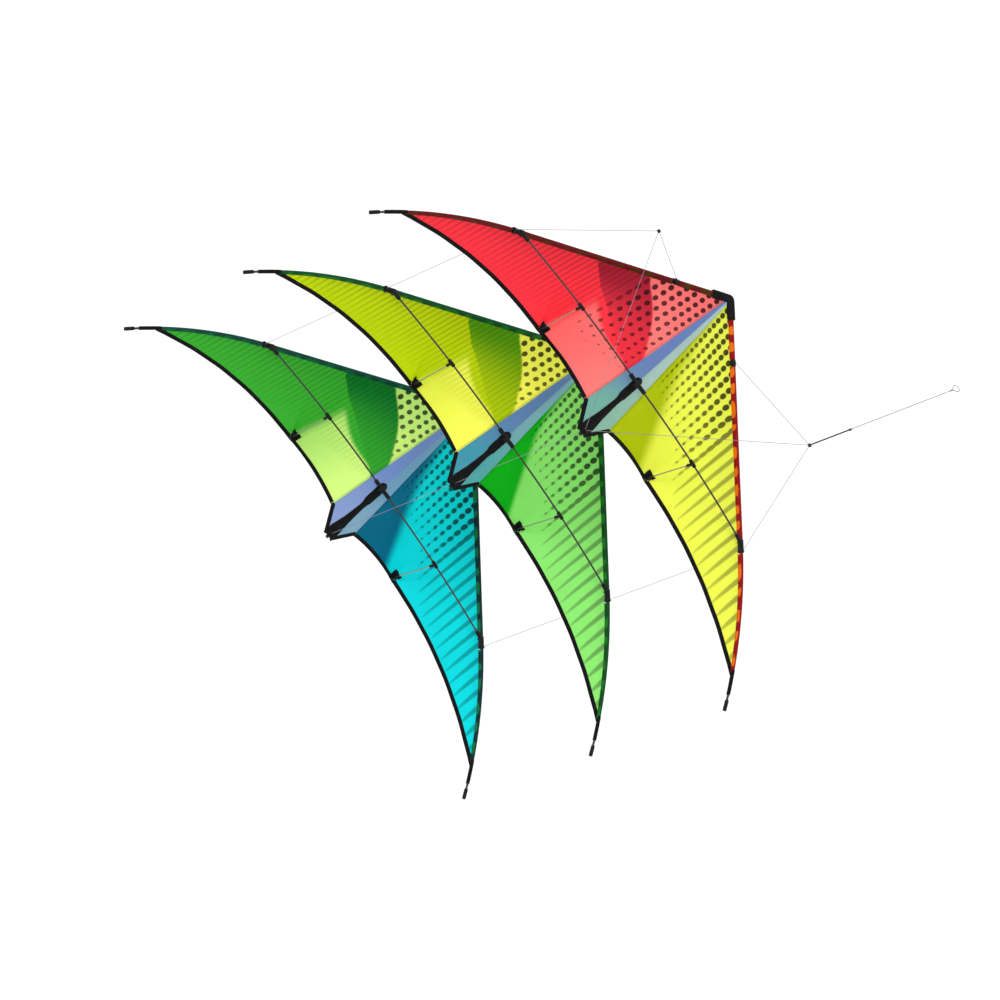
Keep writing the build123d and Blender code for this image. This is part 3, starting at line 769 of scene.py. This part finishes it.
def film_finish(kite, left_top, left_foot, right_top, right_foot):
    """Laminated film: a bluer left half and a paler right one, each going to another tint towards the tail,
    with a scrim of threads inside it."""
    material, tree, shader, place = new_material(f"{kite}_panel_film", 0.45, Specular_IOR_Level=0.25)
    split = tree.nodes.new("ShaderNodeSeparateXYZ")
    tree.links.new(place, split.inputs[0])
    right = eased(tree, split.outputs["X"], -1.0 * MM, 1.0 * MM)
    down = eased(tree, calc(tree, "SUBTRACT", float(kite_zero(kite)[1]), split.outputs["Y"]), -60 * MM,
                 75 * MM)
    colour = tinted(tree, right, tinted(tree, down, left_top, left_foot),
                    tinted(tree, down, right_top, right_foot))
    colour = tinted(tree, calc(tree, "MULTIPLY", noise(tree, place, 30.0), 0.3), colour, paint(120, 160, 200))
    scrim = []
    for way in (split.outputs["X"], split.outputs["Y"]):
        from_thread = calc(tree, "ABSOLUTE",
                           calc(tree, "SUBTRACT", calc(tree, "FRACT", calc(tree, "DIVIDE", way, 4 * MM)),
                                0.5))
        scrim.append(calc(tree, "SUBTRACT", 1.0, eased(tree, from_thread, 0.03, 0.09)))
    threads = calc(tree, "MAXIMUM", *scrim)
    colour = tinted(tree, calc(tree, "MULTIPLY", threads, 0.25), colour, paint(214, 222, 232))
    tree.links.new(colour, shader.inputs["Base Color"])
    raised(tree, shader, threads, 0.3, 0.1 * MM)
    through = tree.nodes.new("ShaderNodeBsdfTranslucent")
    tree.links.new(colour, through.inputs["Color"])
    both = tree.nodes.new("ShaderNodeMixShader")
    both.inputs["Fac"].default_value = 0.35
    tree.links.new(shader.outputs[0], both.inputs[1])
    tree.links.new(through.outputs[0], both.inputs[2])
    tree.links.new(both.outputs[0], tree.nodes["Material Output"].inputs["Surface"])
    return material


# left half at the top and at the foot, right half at the top and at the foot
FILM_COLOURS = {
    "front": (paint(104, 138, 204), paint(122, 198, 172), paint(198, 226, 216), paint(160, 214, 186)),
    "middle": (paint(92, 146, 204), paint(24, 172, 196), paint(140, 206, 214), paint(70, 194, 192)),
    "rear": (paint(128, 158, 228), paint(158, 178, 232), paint(132, 186, 220), paint(156, 196, 220)),
}
for kite in KITES:
    make_panel(kite, film_finish(kite, *FILM_COLOURS[kite]))


# ==== trailing edge binding, corner patches and tail patch =======================================
# Black polyester tape is folded over the whole back edge and sewn down. A wider patch takes the standoff,
# and a long tapering one runs down the panel from the tee to the tail, where the tail lines pull.
def flat_strip(edge, inward, normal, width, thickness, overhang):
    """A flat strip with rounded edges: a squarish oval, carried along a line a little outside an edge."""
    turn = np.linspace(0, 2 * np.pi, 14, endpoint=False)[None, :, None]
    wide = np.sign(np.cos(turn)) * np.abs(np.cos(turn)) ** 0.55
    thick = np.sign(np.sin(turn)) * np.abs(np.sin(turn)) ** 0.7
    centre = edge + inward * (width / 2 - overhang)
    points = centre[:, None] + inward[:, None] * wide * width / 2 + normal[:, None] * thick * thickness / 2
    return points, grid_faces(len(edge), 14, round_columns=True, capped=True)


def wing_edge_frame(kite, side, x, reach):
    """The trailing edge at distances from the spine, with the way inwards along the cloth and the cloth's
    normal."""
    a = across_at(x)
    edge = wing_point(kite, side, a, np.ones_like(x))
    rib = np.linalg.norm(edge - wing_point(kite, side, a, 0 * x), axis=1)
    inner = wing_point(kite, side, a, 1 - np.minimum(reach / rib, 0.6))
    ahead = unit(np.gradient(edge, axis=0))
    inward = inner - edge
    inward = unit(inward - (inward * ahead).sum(1, keepdims=True) * ahead)
    return edge, inward, np.cross(ahead, inward)


def stitch_row(line, normal, pitch=3.2 * MM, length=2.3 * MM, width=0.5 * MM):
    """A row of stitches: one small rounded bar after another, lying on the cloth along a line."""
    line = np.asarray(line)
    travelled = np.concatenate([[0], np.cumsum(np.linalg.norm(np.diff(line, axis=0), axis=1))])
    at = np.arange(pitch / 2, travelled[-1], pitch)
    if len(at) == 0:
        at = np.array([travelled[-1] / 2])
    centres = np.stack([np.interp(at, travelled, line[:, i]) for i in range(3)], 1)
    ahead = unit(np.stack([np.interp(at + 0.2 * MM, travelled, line[:, i]) for i in range(3)], 1)
                 - np.stack([np.interp(at - 0.2 * MM, travelled, line[:, i]) for i in range(3)], 1))
    up = unit(np.stack([np.interp(at, travelled, normal[:, i]) for i in range(3)], 1))
    side = np.cross(ahead, up)
    ring = np.linspace(0, 2 * np.pi, 6, endpoint=False)
    stations = np.array([-0.5, -0.3, 0.3, 0.5])
    girth = np.array([0.35, 1.0, 1.0, 0.35])
    bar = [(station, g * np.cos(r), g * np.sin(r)) for station, g in zip(stations, girth) for r in ring]
    bar = np.array(bar)
    points = (centres[:, None] + bar[None, :, :1] * length * ahead[:, None] + bar[None, :,
                                                                                  1:2] * width / 2 * side[:, None]
              + bar[None, :, 2:] * width / 2 * up[:, None])
    one = grid_faces(4, 6, round_columns=True, capped=True)
    faces = [[24 * n + i for i in face] for n in range(len(at)) for face in one]
    return points, faces


def tape_finish(name, dark, light):
    """Woven tape: a fine herringbone of threads along and across it, a little dusty."""
    material, tree, shader, place = new_material(name, 0.8, Specular_IOR_Level=0.15)
    wave = tree.nodes.new("ShaderNodeTexWave")
    wave.bands_direction = "DIAGONAL"
    wave.inputs["Scale"].default_value = 420.0
    wave.inputs["Distortion"].default_value = 1.5
    tree.links.new(place, wave.inputs["Vector"])
    dust = eased(tree, noise(tree, place, 60.0), 0.45, 0.8)
    tree.links.new(tinted(tree, calc(tree, "MULTIPLY", dust, 0.6), dark, light), shader.inputs["Base Color"])
    raised(tree, shader, wave.outputs["Fac"], 0.4, 0.15 * MM)
    return material


black_tape = tape_finish("black_tape", paint(7, 7, 8), paint(24, 24, 27))
black_thread = cord_finish("black_thread", paint(16, 16, 18), paint(38, 38, 42))
BINDING_WIDTH, BINDING_T = 7.2 * MM, 1.3 * MM
PATCH_WIDTH, PATCH_T, PATCH_HALF = 20.0 * MM, 2.0 * MM, 7.5 * MM
OVERHANG = 0.9 * MM


def panel_edge_frame(kite, side, steps=24):
    """The panel's lower edge from the wing's corner to the tail, with the way inwards and the film's
    normal."""
    y = np.linspace(CORNER_Y, PANEL_TAIL_Y, steps)
    x = side * panel_half_width(y)
    edge = panel_point(kite, x, y)
    edge[0] += unit(edge[0] - edge[1]) * 3.0 * MM
    ahead = unit(np.gradient(edge, axis=0))
    slope = SAIL_DEPTH / STANDOFF_X
    normal = unit(np.array([side * slope, 0.0, 1.0]) + 0 * edge)
    inward = np.cross(normal, ahead)
    inward = inward * np.sign(inward[:, 1:2])
    return edge, inward, normal


def make_edging(kite, side_name, side):
    """The folded tape along the wing's back edge and the panel's lower edge, and the patch at the
    standoff."""
    x = np.linspace(SEAM_TOP_X, SAIL_END_X, 240)
    wing = wing_edge_frame(kite, side, x, BINDING_WIDTH)
    panel = panel_edge_frame(kite, side)
    patch_x = np.linspace(STANDOFF_X - PATCH_HALF, STANDOFF_X + PATCH_HALF, 16)
    patch = wing_edge_frame(kite, side, patch_x, PATCH_WIDTH)
    shells = [flat_strip(*wing, BINDING_WIDTH, BINDING_T, OVERHANG),
              flat_strip(*panel, BINDING_WIDTH, BINDING_T, OVERHANG),
              flat_strip(*patch, PATCH_WIDTH, PATCH_T, 1.2 * MM)]
    piece = add_piece(f"{kite}_edge_binding_{side_name}", shells, f"{kite}_kite", black_tape)
    rows = []
    for edge, inward, normal in (wing, panel):
        for face in (1, -1):
            rows.append(stitch_row(edge + inward * (BINDING_WIDTH - OVERHANG - 1.6 * MM)
                                   + face * normal * (BINDING_T / 2 - 0.05 * MM), normal))
    edge, inward, normal = patch
    for reach in (3 * MM, 9 * MM, 15 * MM):
        rows.append(stitch_row(edge + inward * reach + normal * (PATCH_T / 2), normal))
        rows.append(stitch_row(edge + inward * reach - normal * (PATCH_T / 2), normal))
    add_piece(f"{kite}_edge_stitching_{side_name}", rows, f"{kite}_kite", black_thread)
    return piece


TAIL_PATCH_Y = np.array([-13, -32, -40, -50, -90, -118, -141]) * MM
TAIL_PATCH_HALF = np.array([7.0, 6.6, 4.8, 4.3, 6.4, 10.2, 10.0]) * MM


def make_tail_patch(kite):
    """The tapering patch, wider towards the tail, lying on both faces of the panel and folded with it, and
    a squarish ring of the same tape round the tee's neck."""
    y = np.linspace(TAIL_PATCH_Y[0], TAIL_PATCH_Y[-1], 60)[:, None]
    half = np.interp(-y, -TAIL_PATCH_Y, TAIL_PATCH_HALF)
    x = half * np.linspace(-1, 1, 15)[None, :]
    depth_y = np.maximum(y, PANEL_TAIL_Y)
    points = kite_zero(kite) + np.stack([x, y + 0 * x, -panel_depth(x, depth_y) + 0.1 * MM], -1)
    turn = np.linspace(0, 2 * np.pi, 48, endpoint=False)[:, None]
    wide = np.sign(np.cos(turn)) * np.abs(np.cos(turn)) ** 0.5
    high = np.sign(np.sin(turn)) * np.abs(np.sin(turn)) ** 0.5
    out = np.linspace(0, 1, 5)[None, :]
    ring_x = wide * (TEE_NECK_X + out * (7.0 * MM - TEE_NECK_X))
    ring_y = high * (TEE_NECK_Y + out * (16.5 * MM - TEE_NECK_Y))
    ring = kite_zero(kite) + np.stack([ring_x, ring_y, 0.3 * MM - panel_depth(ring_x, ring_y)], -1)
    shells = [(points, grid_faces(60, 15)), (ring, grid_faces(48, 5, round_rows=True))]
    piece = add_piece(f"{kite}_tail_patch", shells, f"{kite}_kite", black_tape, smooth=False,
                      outward=False)
    thickness = piece.modifiers.new("patch thickness", "SOLIDIFY")
    thickness.thickness = 1.6 * MM
    thickness.offset = 0.0
    rows = []
    for share in (-0.78, 0.78):
        line = kite_zero(kite) + np.stack([half[:, 0] * share, y[:, 0],
                                           0.9 * MM - panel_depth(half[:, 0] * share, depth_y[:, 0])], -1)
        up = unit(np.array([share, 0.0, 1.0]) + 0 * line)
        rows.append(stitch_row(line, up))
    add_piece(f"{kite}_tail_stitching", rows, f"{kite}_kite", black_thread)
    return piece


for kite in KITES:
    make_tail_patch(kite)
    for side_name, side in SIDES.items():
        make_edging(kite, side_name, side)

# ==== leading edge sleeves =======================================================================
# Printed polyester tape folded round each spar and sewn down on the sail. It is open at the upper tie and
# at the spreader joint, and it ends where the sail does.
SLEEVE_R = 3.8 * MM
SLEEVE_HEM = 6.1 * MM
HEM_HALF_T = 0.8 * MM
CAP_LENGTH = 36 * MM
UPPER_GAP, JOINT_GAP = 6 * MM, 12.5 * MM


def sleeve_section(turns=30):
    """The sleeve's outline about the spar: half a circle outside it, drawn in to a flat hem on the sail
    side."""
    turn = np.linspace(0, 2 * np.pi, turns, endpoint=False)
    inwards = np.cos(turn)
    round_part = np.sin(turn)
    hem = np.sign(round_part) * np.abs(round_part) ** 0.35
    waist = HEM_HALF_T + (SLEEVE_R - HEM_HALF_T) * (1 - np.clip(inwards, 0, 1)) ** 1.7
    across = np.where(inwards < 0, SLEEVE_R * inwards, SLEEVE_HEM * inwards)
    up = np.where(inwards < 0, SLEEVE_R * round_part, hem * waist)
    return across, up


def edge_frame(kite, side, x):
    """The spar's line at distances from the spine, with the way down the sail and the sail's normal."""
    line = kite_zero(kite) + np.stack([side * x, edge_y(x), 0 * x], -1)
    slope = edge_slope(x)
    ahead = unit(np.stack([side + 0 * x, slope, 0 * x], -1))
    back = edge_y(x) - back_edge(x)[0]
    start = wing_point(kite, side, across_at(x), 0 * x)
    inner = wing_point(kite, side, across_at(x), np.minimum(30 * MM / back, 0.5))
    inward = inner - start
    inward = unit(inward - (inward * ahead).sum(1, keepdims=True) * ahead)
    return line, inward, np.cross(ahead, inward) * side * -1.0


def make_sleeve(kite, side_name, side, material):
    """Three stretches of sleeve, with a sewn row along each hem."""
    joint_gap = JOINT_GAP * EDGE_X
    upper = UPPER_GAP * EDGE_X
    stretches = [(CAP_LENGTH * EDGE_X + 0.4 * MM, UPPER_X - upper), (UPPER_X + upper, JOINT_X - joint_gap),
                 (JOINT_X + joint_gap, SAIL_END_X)]
    across, up = sleeve_section()
    shells = []
    charts = []
    rows = []
    for first, last in stretches:
        x = np.linspace(first, last, max(10, int((last - first) / (2.5 * MM))))
        line, inward, normal = edge_frame(kite, side, x)
        swell = 1 + 0.03 * np.cos(2 * np.pi * x / (17 * MM))[:, None, None]
        narrow = 1 - 0.28 * np.clip((x - JOINT_X) / (SAIL_END_X - JOINT_X), 0, 1)[:, None, None]
        points = (line[:, None] + inward[:, None] * across[None, :, None] * narrow
                  + normal[:, None] * up[None, :, None] * swell * narrow)
        charts.append(np.stack([x[:, None] + 0 * across, across / SLEEVE_HEM + 0 * x[:, None]],
                               -1).reshape(-1, 2))
        shells.append((points, grid_faces(len(x), len(across), round_columns=True, capped=True)))
        for face in (1, -1):
            at_hem = line + inward * (SLEEVE_HEM - 1.6 * MM) * narrow[:,
                                                                      0] + face * normal * (HEM_HALF_T
                                                                                            + 0.1 * MM)
            rows.append(stitch_row(at_hem, normal))
    piece = add_piece(f"{kite}_sleeve_{side_name}", shells, f"{kite}_kite", material)
    give_chart(piece, "tape", np.vstack(charts))
    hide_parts(f"{kite}_edge_sleeve_{side_name}")
    add_piece(f"{kite}_sleeve_stitching_{side_name}", rows, f"{kite}_kite", black_thread)
    return piece


def sleeve_finish(kite, side_name, ground, blotch, share):
    """Printed tape: blotches of a second colour on the half next to the sail, uneven in length, and a fine
    weave."""
    material, tree, shader, place = new_material(f"{kite}_sleeve_tape_{side_name}", 0.7,
                                                 Specular_IOR_Level=0.15)
    own_map = tree.nodes.new("ShaderNodeUVMap")
    own_map.uv_map = "tape"
    split = tree.nodes.new("ShaderNodeSeparateXYZ")
    tree.links.new(own_map.outputs[0], split.inputs[0])
    turns = calc(tree, "MULTIPLY", split.outputs["X"], 2 * math.pi / (26 * MM))
    wander = calc(tree, "MULTIPLY", noise(tree, place, 28.0), 9.0)
    wave = calc(tree, "SINE", calc(tree, "ADD", turns, wander))
    next_to_sail = eased(tree, calc(tree, "ADD", split.outputs["Y"], calc(tree, "MULTIPLY", wave, 0.2)),
                         -0.25, 0.25)
    cover = calc(tree, "MULTIPLY", calc(tree, "MULTIPLY", eased(tree, wave, -0.3, 0.3), next_to_sail), share)
    tree.links.new(tinted(tree, cover, ground, blotch), shader.inputs["Base Color"])
    raised(tree, shader, noise(tree, place, 1400.0), 0.4, 0.15 * MM)
    return material


SLEEVE_COLOURS = {
    "front_left": (paint(96, 12, 14), paint(66, 52, 0), 0.8),
    "front_right": (paint(140, 4, 10), paint(244, 116, 0), 0.85),
    "middle_left": (paint(0, 74, 34), paint(20, 120, 30), 0.7),
    "middle_right": (paint(0, 70, 22), paint(24, 128, 30), 0.7),
    "rear_left": (paint(0, 66, 52), paint(0, 104, 66), 0.7),
    "rear_right": (paint(2, 42, 44), paint(0, 120, 70), 0.8),
}
for kite in KITES:
    for side_name, side in SIDES.items():
        make_sleeve(kite, side_name, side,
                    sleeve_finish(kite, side_name, *SLEEVE_COLOURS[f"{kite}_{side_name}"]))

# ==== wrapped tips ===============================================================================
# Outside the sail each leading edge spar is bound with black tape up to its end cap, so that the sleeve
# can't creep along it. The tape is laid on in overlapping turns.
WRAP_R, WRAP_PITCH = 3.4 * MM, 5.5 * MM
for kite in KITES:
    turns = []
    for side in SIDES.values():
        x = np.linspace(SAIL_END_X - 3 * MM, TIP_X - 13 * MM, 90)
        line, inward, normal = edge_frame(kite, side, x)
        travelled = np.concatenate([[0], np.cumsum(np.linalg.norm(np.diff(line, axis=0), axis=1))])[:, None]
        angle = np.linspace(0, 2 * np.pi, 20, endpoint=False)[None, :]
        step = np.mod(travelled / WRAP_PITCH - angle / (2 * np.pi), 1.0)
        reach = (WRAP_R * (0.94 + 0.06 * step))[..., None]
        around = np.cos(angle)[..., None] * inward[:, None] + np.sin(angle)[..., None] * normal[:, None]
        turns.append((line[:, None] + reach * around, grid_faces(90, 20, round_columns=True, capped=True)))
    add_piece(f"{kite}_tip_tape", turns, f"{kite}_kite", black_tape)

# ==== nose caps ==================================================================================
# Heavy nylon webbing folded over the nose into a pocket, which both edge spars and the spine push up into.
# Two sewn rows hold it to the sleeves and the sail.
CAP_OUTER, CAP_INNER = 6.8 * MM, 8 * MM
CAP_NOSE_R = 11 * MM


def cap_edges(steps=64):
    """The cap's outer edge, rounded over the nose, and its inner edge, a plain V, point for point, in the
    kite's plan."""
    along = np.linspace(-1, 1, 2 * steps + 1)
    side = np.sign(along)
    reach = np.abs(along) * CAP_LENGTH
    normal_x, normal_y = -EDGE_Y, EDGE_X
    outer_x = reach * EDGE_X + CAP_OUTER * normal_x
    outer_y = NOSE_Y + reach * EDGE_Y + CAP_OUTER * normal_y
    apex_y = NOSE_Y + CAP_OUTER / normal_y
    centre_y = apex_y - CAP_NOSE_R / normal_y
    touch = CAP_NOSE_R * normal_x
    share = np.clip(reach / (CAP_LENGTH * 0.35), 0, 1)
    bearing = share * math.asin(normal_x)
    straight_x = touch + (np.clip(reach / CAP_LENGTH, 0.35, 1) - 0.35) / 0.65 * (
        CAP_LENGTH * EDGE_X + CAP_OUTER * normal_x - touch)
    straight_y = apex_y + straight_x * EDGE_Y / EDGE_X
    in_round = share < 1
    outer_x = np.where(in_round, CAP_NOSE_R * np.sin(bearing), straight_x)
    outer_y = np.where(in_round, centre_y + CAP_NOSE_R * np.cos(bearing), straight_y)
    inner_x = reach * EDGE_X - CAP_INNER * normal_x * np.clip(reach / CAP_LENGTH * 4, 0, 1)
    inner_x = np.maximum(inner_x, 0) * 1.0
    inner_y = NOSE_Y - CAP_INNER / normal_y + inner_x * EDGE_Y / EDGE_X
    outer = np.stack([side * outer_x, outer_y], -1)
    inner = np.stack([side * inner_x, inner_y], -1)
    return outer, inner, np.abs(along)


def make_nose_cap(kite, material):
    """The cap as a squarish oval between its two edges, deeper over the spine than at its ends."""
    outer, inner, out = cap_edges()
    turn = np.linspace(0, 2 * np.pi, 24, endpoint=False)[None, :]
    over = (1 + np.sign(np.cos(turn)) * np.abs(np.cos(turn)) ** 0.6) / 2
    lift = np.sign(np.sin(turn)) * np.abs(np.sin(turn)) ** 0.6
    low = (-9.2 + 3.6 * np.clip(out * 1.6, 0, 1) ** 1.5)[:, None] * MM
    high = 4.8 * MM + 0 * low
    inner_pinch = 1 - 0.45 * (1 - over) ** 2
    z = (high + low) / 2 + (high - low) / 2 * lift * inner_pinch
    plan = inner[:, None] * (1 - over[..., None]) + outer[:, None] * over[..., None]
    points = kite_zero(kite) + np.concatenate([plan, z[..., None]], -1)
    shells = [(points, grid_faces(len(out), 24, round_columns=True, capped=True))]
    piece = add_piece(f"{kite}_nose_webbing", shells, f"{kite}_kite", material)
    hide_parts(f"{kite}_nose_cap")
    rows = []
    for share in (0.22, 0.78):
        for z_row in (high, low):
            plan_row = inner * (1 - share) + outer * share
            inset = 0.86 if share < 0.5 else 0.94
            middle = (high + low) / 2
            line = kite_zero(kite) + np.concatenate([plan_row, middle + (z_row - middle) * inset], -1)
            up = np.zeros_like(line)
            up[:, 2] = 1.0
            rows.append(stitch_row(line, up, width=0.7 * MM))
    add_piece(f"{kite}_nose_stitching", rows, f"{kite}_kite", black_thread)
    return piece


webbing = tape_finish("black_webbing", paint(12, 12, 13), paint(34, 34, 36))
for kite in KITES:
    make_nose_cap(kite, webbing)


# ==== seams ======================================================================================
# Each wing is lapped over the panel and sewn with two rows of thread. The lap is the wing's own cloth,
# doubled.
def make_seam(kite, side_name, side):
    """A flat lap along the seam, raised a little on both faces, with two sewn rows on the front."""
    s = np.linspace(0.03, 1, 120)
    line = wing_point(kite, side, 0 * s, s)
    beside_line = wing_point(kite, side, 0 * s + across_at(10 * MM), s)
    ahead = unit(np.gradient(line, axis=0))
    inward = beside_line - line
    inward = unit(inward - (inward * ahead).sum(1, keepdims=True) * ahead)
    normal = np.cross(ahead, inward)
    normal = normal * np.sign(normal[:, 2:])
    points, faces = flat_strip(line, inward, normal, 4.4 * MM, 0.9 * MM, 1.2 * MM)
    piece = add_piece(f"{kite}_seam_{side_name}", [(points, faces)], f"{kite}_kite", cloths[kite, side_name])
    give_chart(piece, "cloth", np.stack([np.zeros(points.shape[:2]),
                                         s[:, None] + np.zeros(points.shape[:2])], -1))
    rows = [stitch_row(line + inward * reach + normal * 0.45 * MM, normal) for reach in (-0.2 * MM, 2.2 * MM)]
    add_piece(f"{kite}_seam_stitching_{side_name}", rows, f"{kite}_kite", black_thread)
    return piece


for kite in KITES:
    for side_name, side in SIDES.items():
        make_seam(kite, side_name, side)


# ==== rods and mouldings =========================================================================
# Spars, spine and spreaders are pultruded carbon rod. The standoffs are pale glass fibre. The tee, the
# connectors, the stoppers, the standoff clips and the end caps are moulded black vinyl.
def rod_finish(name, dark, light, roughness):
    """Pultruded rod: long fine streaks, and a thin clear coat."""
    material, tree, shader, place = new_material(name, roughness, Coat_Weight=0.15, Coat_Roughness=0.35)
    streak = eased(tree, noise(tree, place, 700.0, 5.0), 0.35, 0.7)
    tree.links.new(tinted(tree, streak, dark, light), shader.inputs["Base Color"])
    raised(tree, shader, streak, 0.2, 0.05 * MM)
    return material


def moulded_finish():
    """Moulded vinyl: near black, with a fine leathery grain and a faint bloom."""
    material, tree, shader, place = new_material("moulded_vinyl", 0.6, Specular_IOR_Level=0.2)
    bloom = eased(tree, noise(tree, place, 90.0), 0.4, 0.8)
    tree.links.new(tinted(tree, bloom, paint(9, 9, 10), paint(28, 28, 31)), shader.inputs["Base Color"])
    raised(tree, shader, noise(tree, place, 2600.0, 4.0), 0.45, 0.1 * MM)
    return material


carbon = rod_finish("carbon_rod", paint(18, 18, 18), paint(44, 44, 42), 0.5)
glass_fibre = rod_finish("glass_fibre_rod", paint(112, 116, 92), paint(150, 154, 124), 0.45)
vinyl = moulded_finish()
FINISHES = {
    "spine": carbon, "edge_spars": carbon, "spreader_left": carbon, "spreader_right": carbon,
    "standoffs": glass_fibre, "centre_tee": vinyl, "edge_connectors": vinyl, "upper_stoppers": vinyl,
    "standoff_fittings": vinyl, "end_caps": vinyl,
}
for kite in KITES:
    for part, finish in FINISHES.items():
        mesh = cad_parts[f"{kite}_{part}"].data
        mesh.materials.clear()
        mesh.materials.append(finish)

# ==== studio =====================================================================================
# A pale floor far below, a soft bright surround and one broad light from the kites' left.
FLOOR_Z = -4.0
floor_mesh = bpy.data.meshes.new("floor")
floor_mesh.from_pydata([(-40, -40, FLOOR_Z), (40, -40, FLOOR_Z), (40, 40, FLOOR_Z), (-40, 40, FLOOR_Z)], [],
                       [(0, 1, 2, 3)])
floor = bpy.data.objects.new("floor", floor_mesh)
bpy.context.scene.collection.objects.link(floor)
floor_finish, floor_tree, floor_shader, floor_place = new_material("pale_floor", 0.9)
floor_shader.inputs["Base Color"].default_value = (0.96, 0.96, 0.96, 1)
floor_mesh.materials.append(floor_finish)

world = bpy.data.worlds.new("surround")
bpy.context.scene.world = world
world.use_nodes = True
world.node_tree.nodes["Background"].inputs["Color"].default_value = (1, 1, 1, 1)
world.node_tree.nodes["Background"].inputs["Strength"].default_value = 0.9

key_data = bpy.data.lights.new("key", "SUN")
key_data.energy = 0.9
key_data.angle = math.radians(25)
key = bpy.data.objects.new("key", key_data)
key.rotation_mode = "QUATERNION"
key.rotation_quaternion = Vector((-0.35, -0.30, 0.85)).to_track_quat("Z", "Y")
bpy.context.scene.collection.objects.link(key)
bpy.context.scene.view_settings.view_transform = "Standard"

# ==== camera =====================================================================================
# Above the flier's left shoulder, with the train hanging away from it and the picture rolled over.
EYE = Vector((-1.8896, -6.6436, 8.8984))
TARGET = Vector((0.0809, -0.0832, -0.6903))
ROLL = math.radians(-68.20)

camera_data = bpy.data.cameras.new("camera")
camera_data.lens = 251.6
camera_data.sensor_width = 36.0
camera_data.clip_end = 100.0
camera = bpy.data.objects.new("camera", camera_data)
ahead = (TARGET - EYE).normalized()
level_right = ahead.cross(Vector((0, 0, 1))).normalized()
level_up = level_right.cross(ahead)
up = level_up * math.cos(ROLL) + level_right * math.sin(ROLL)
right = ahead.cross(up)
camera.matrix_world = Matrix.Translation(EYE) @ Matrix((right, up, -ahead)).transposed().to_4x4()
bpy.context.scene.collection.objects.link(camera)
bpy.context.scene.camera = camera
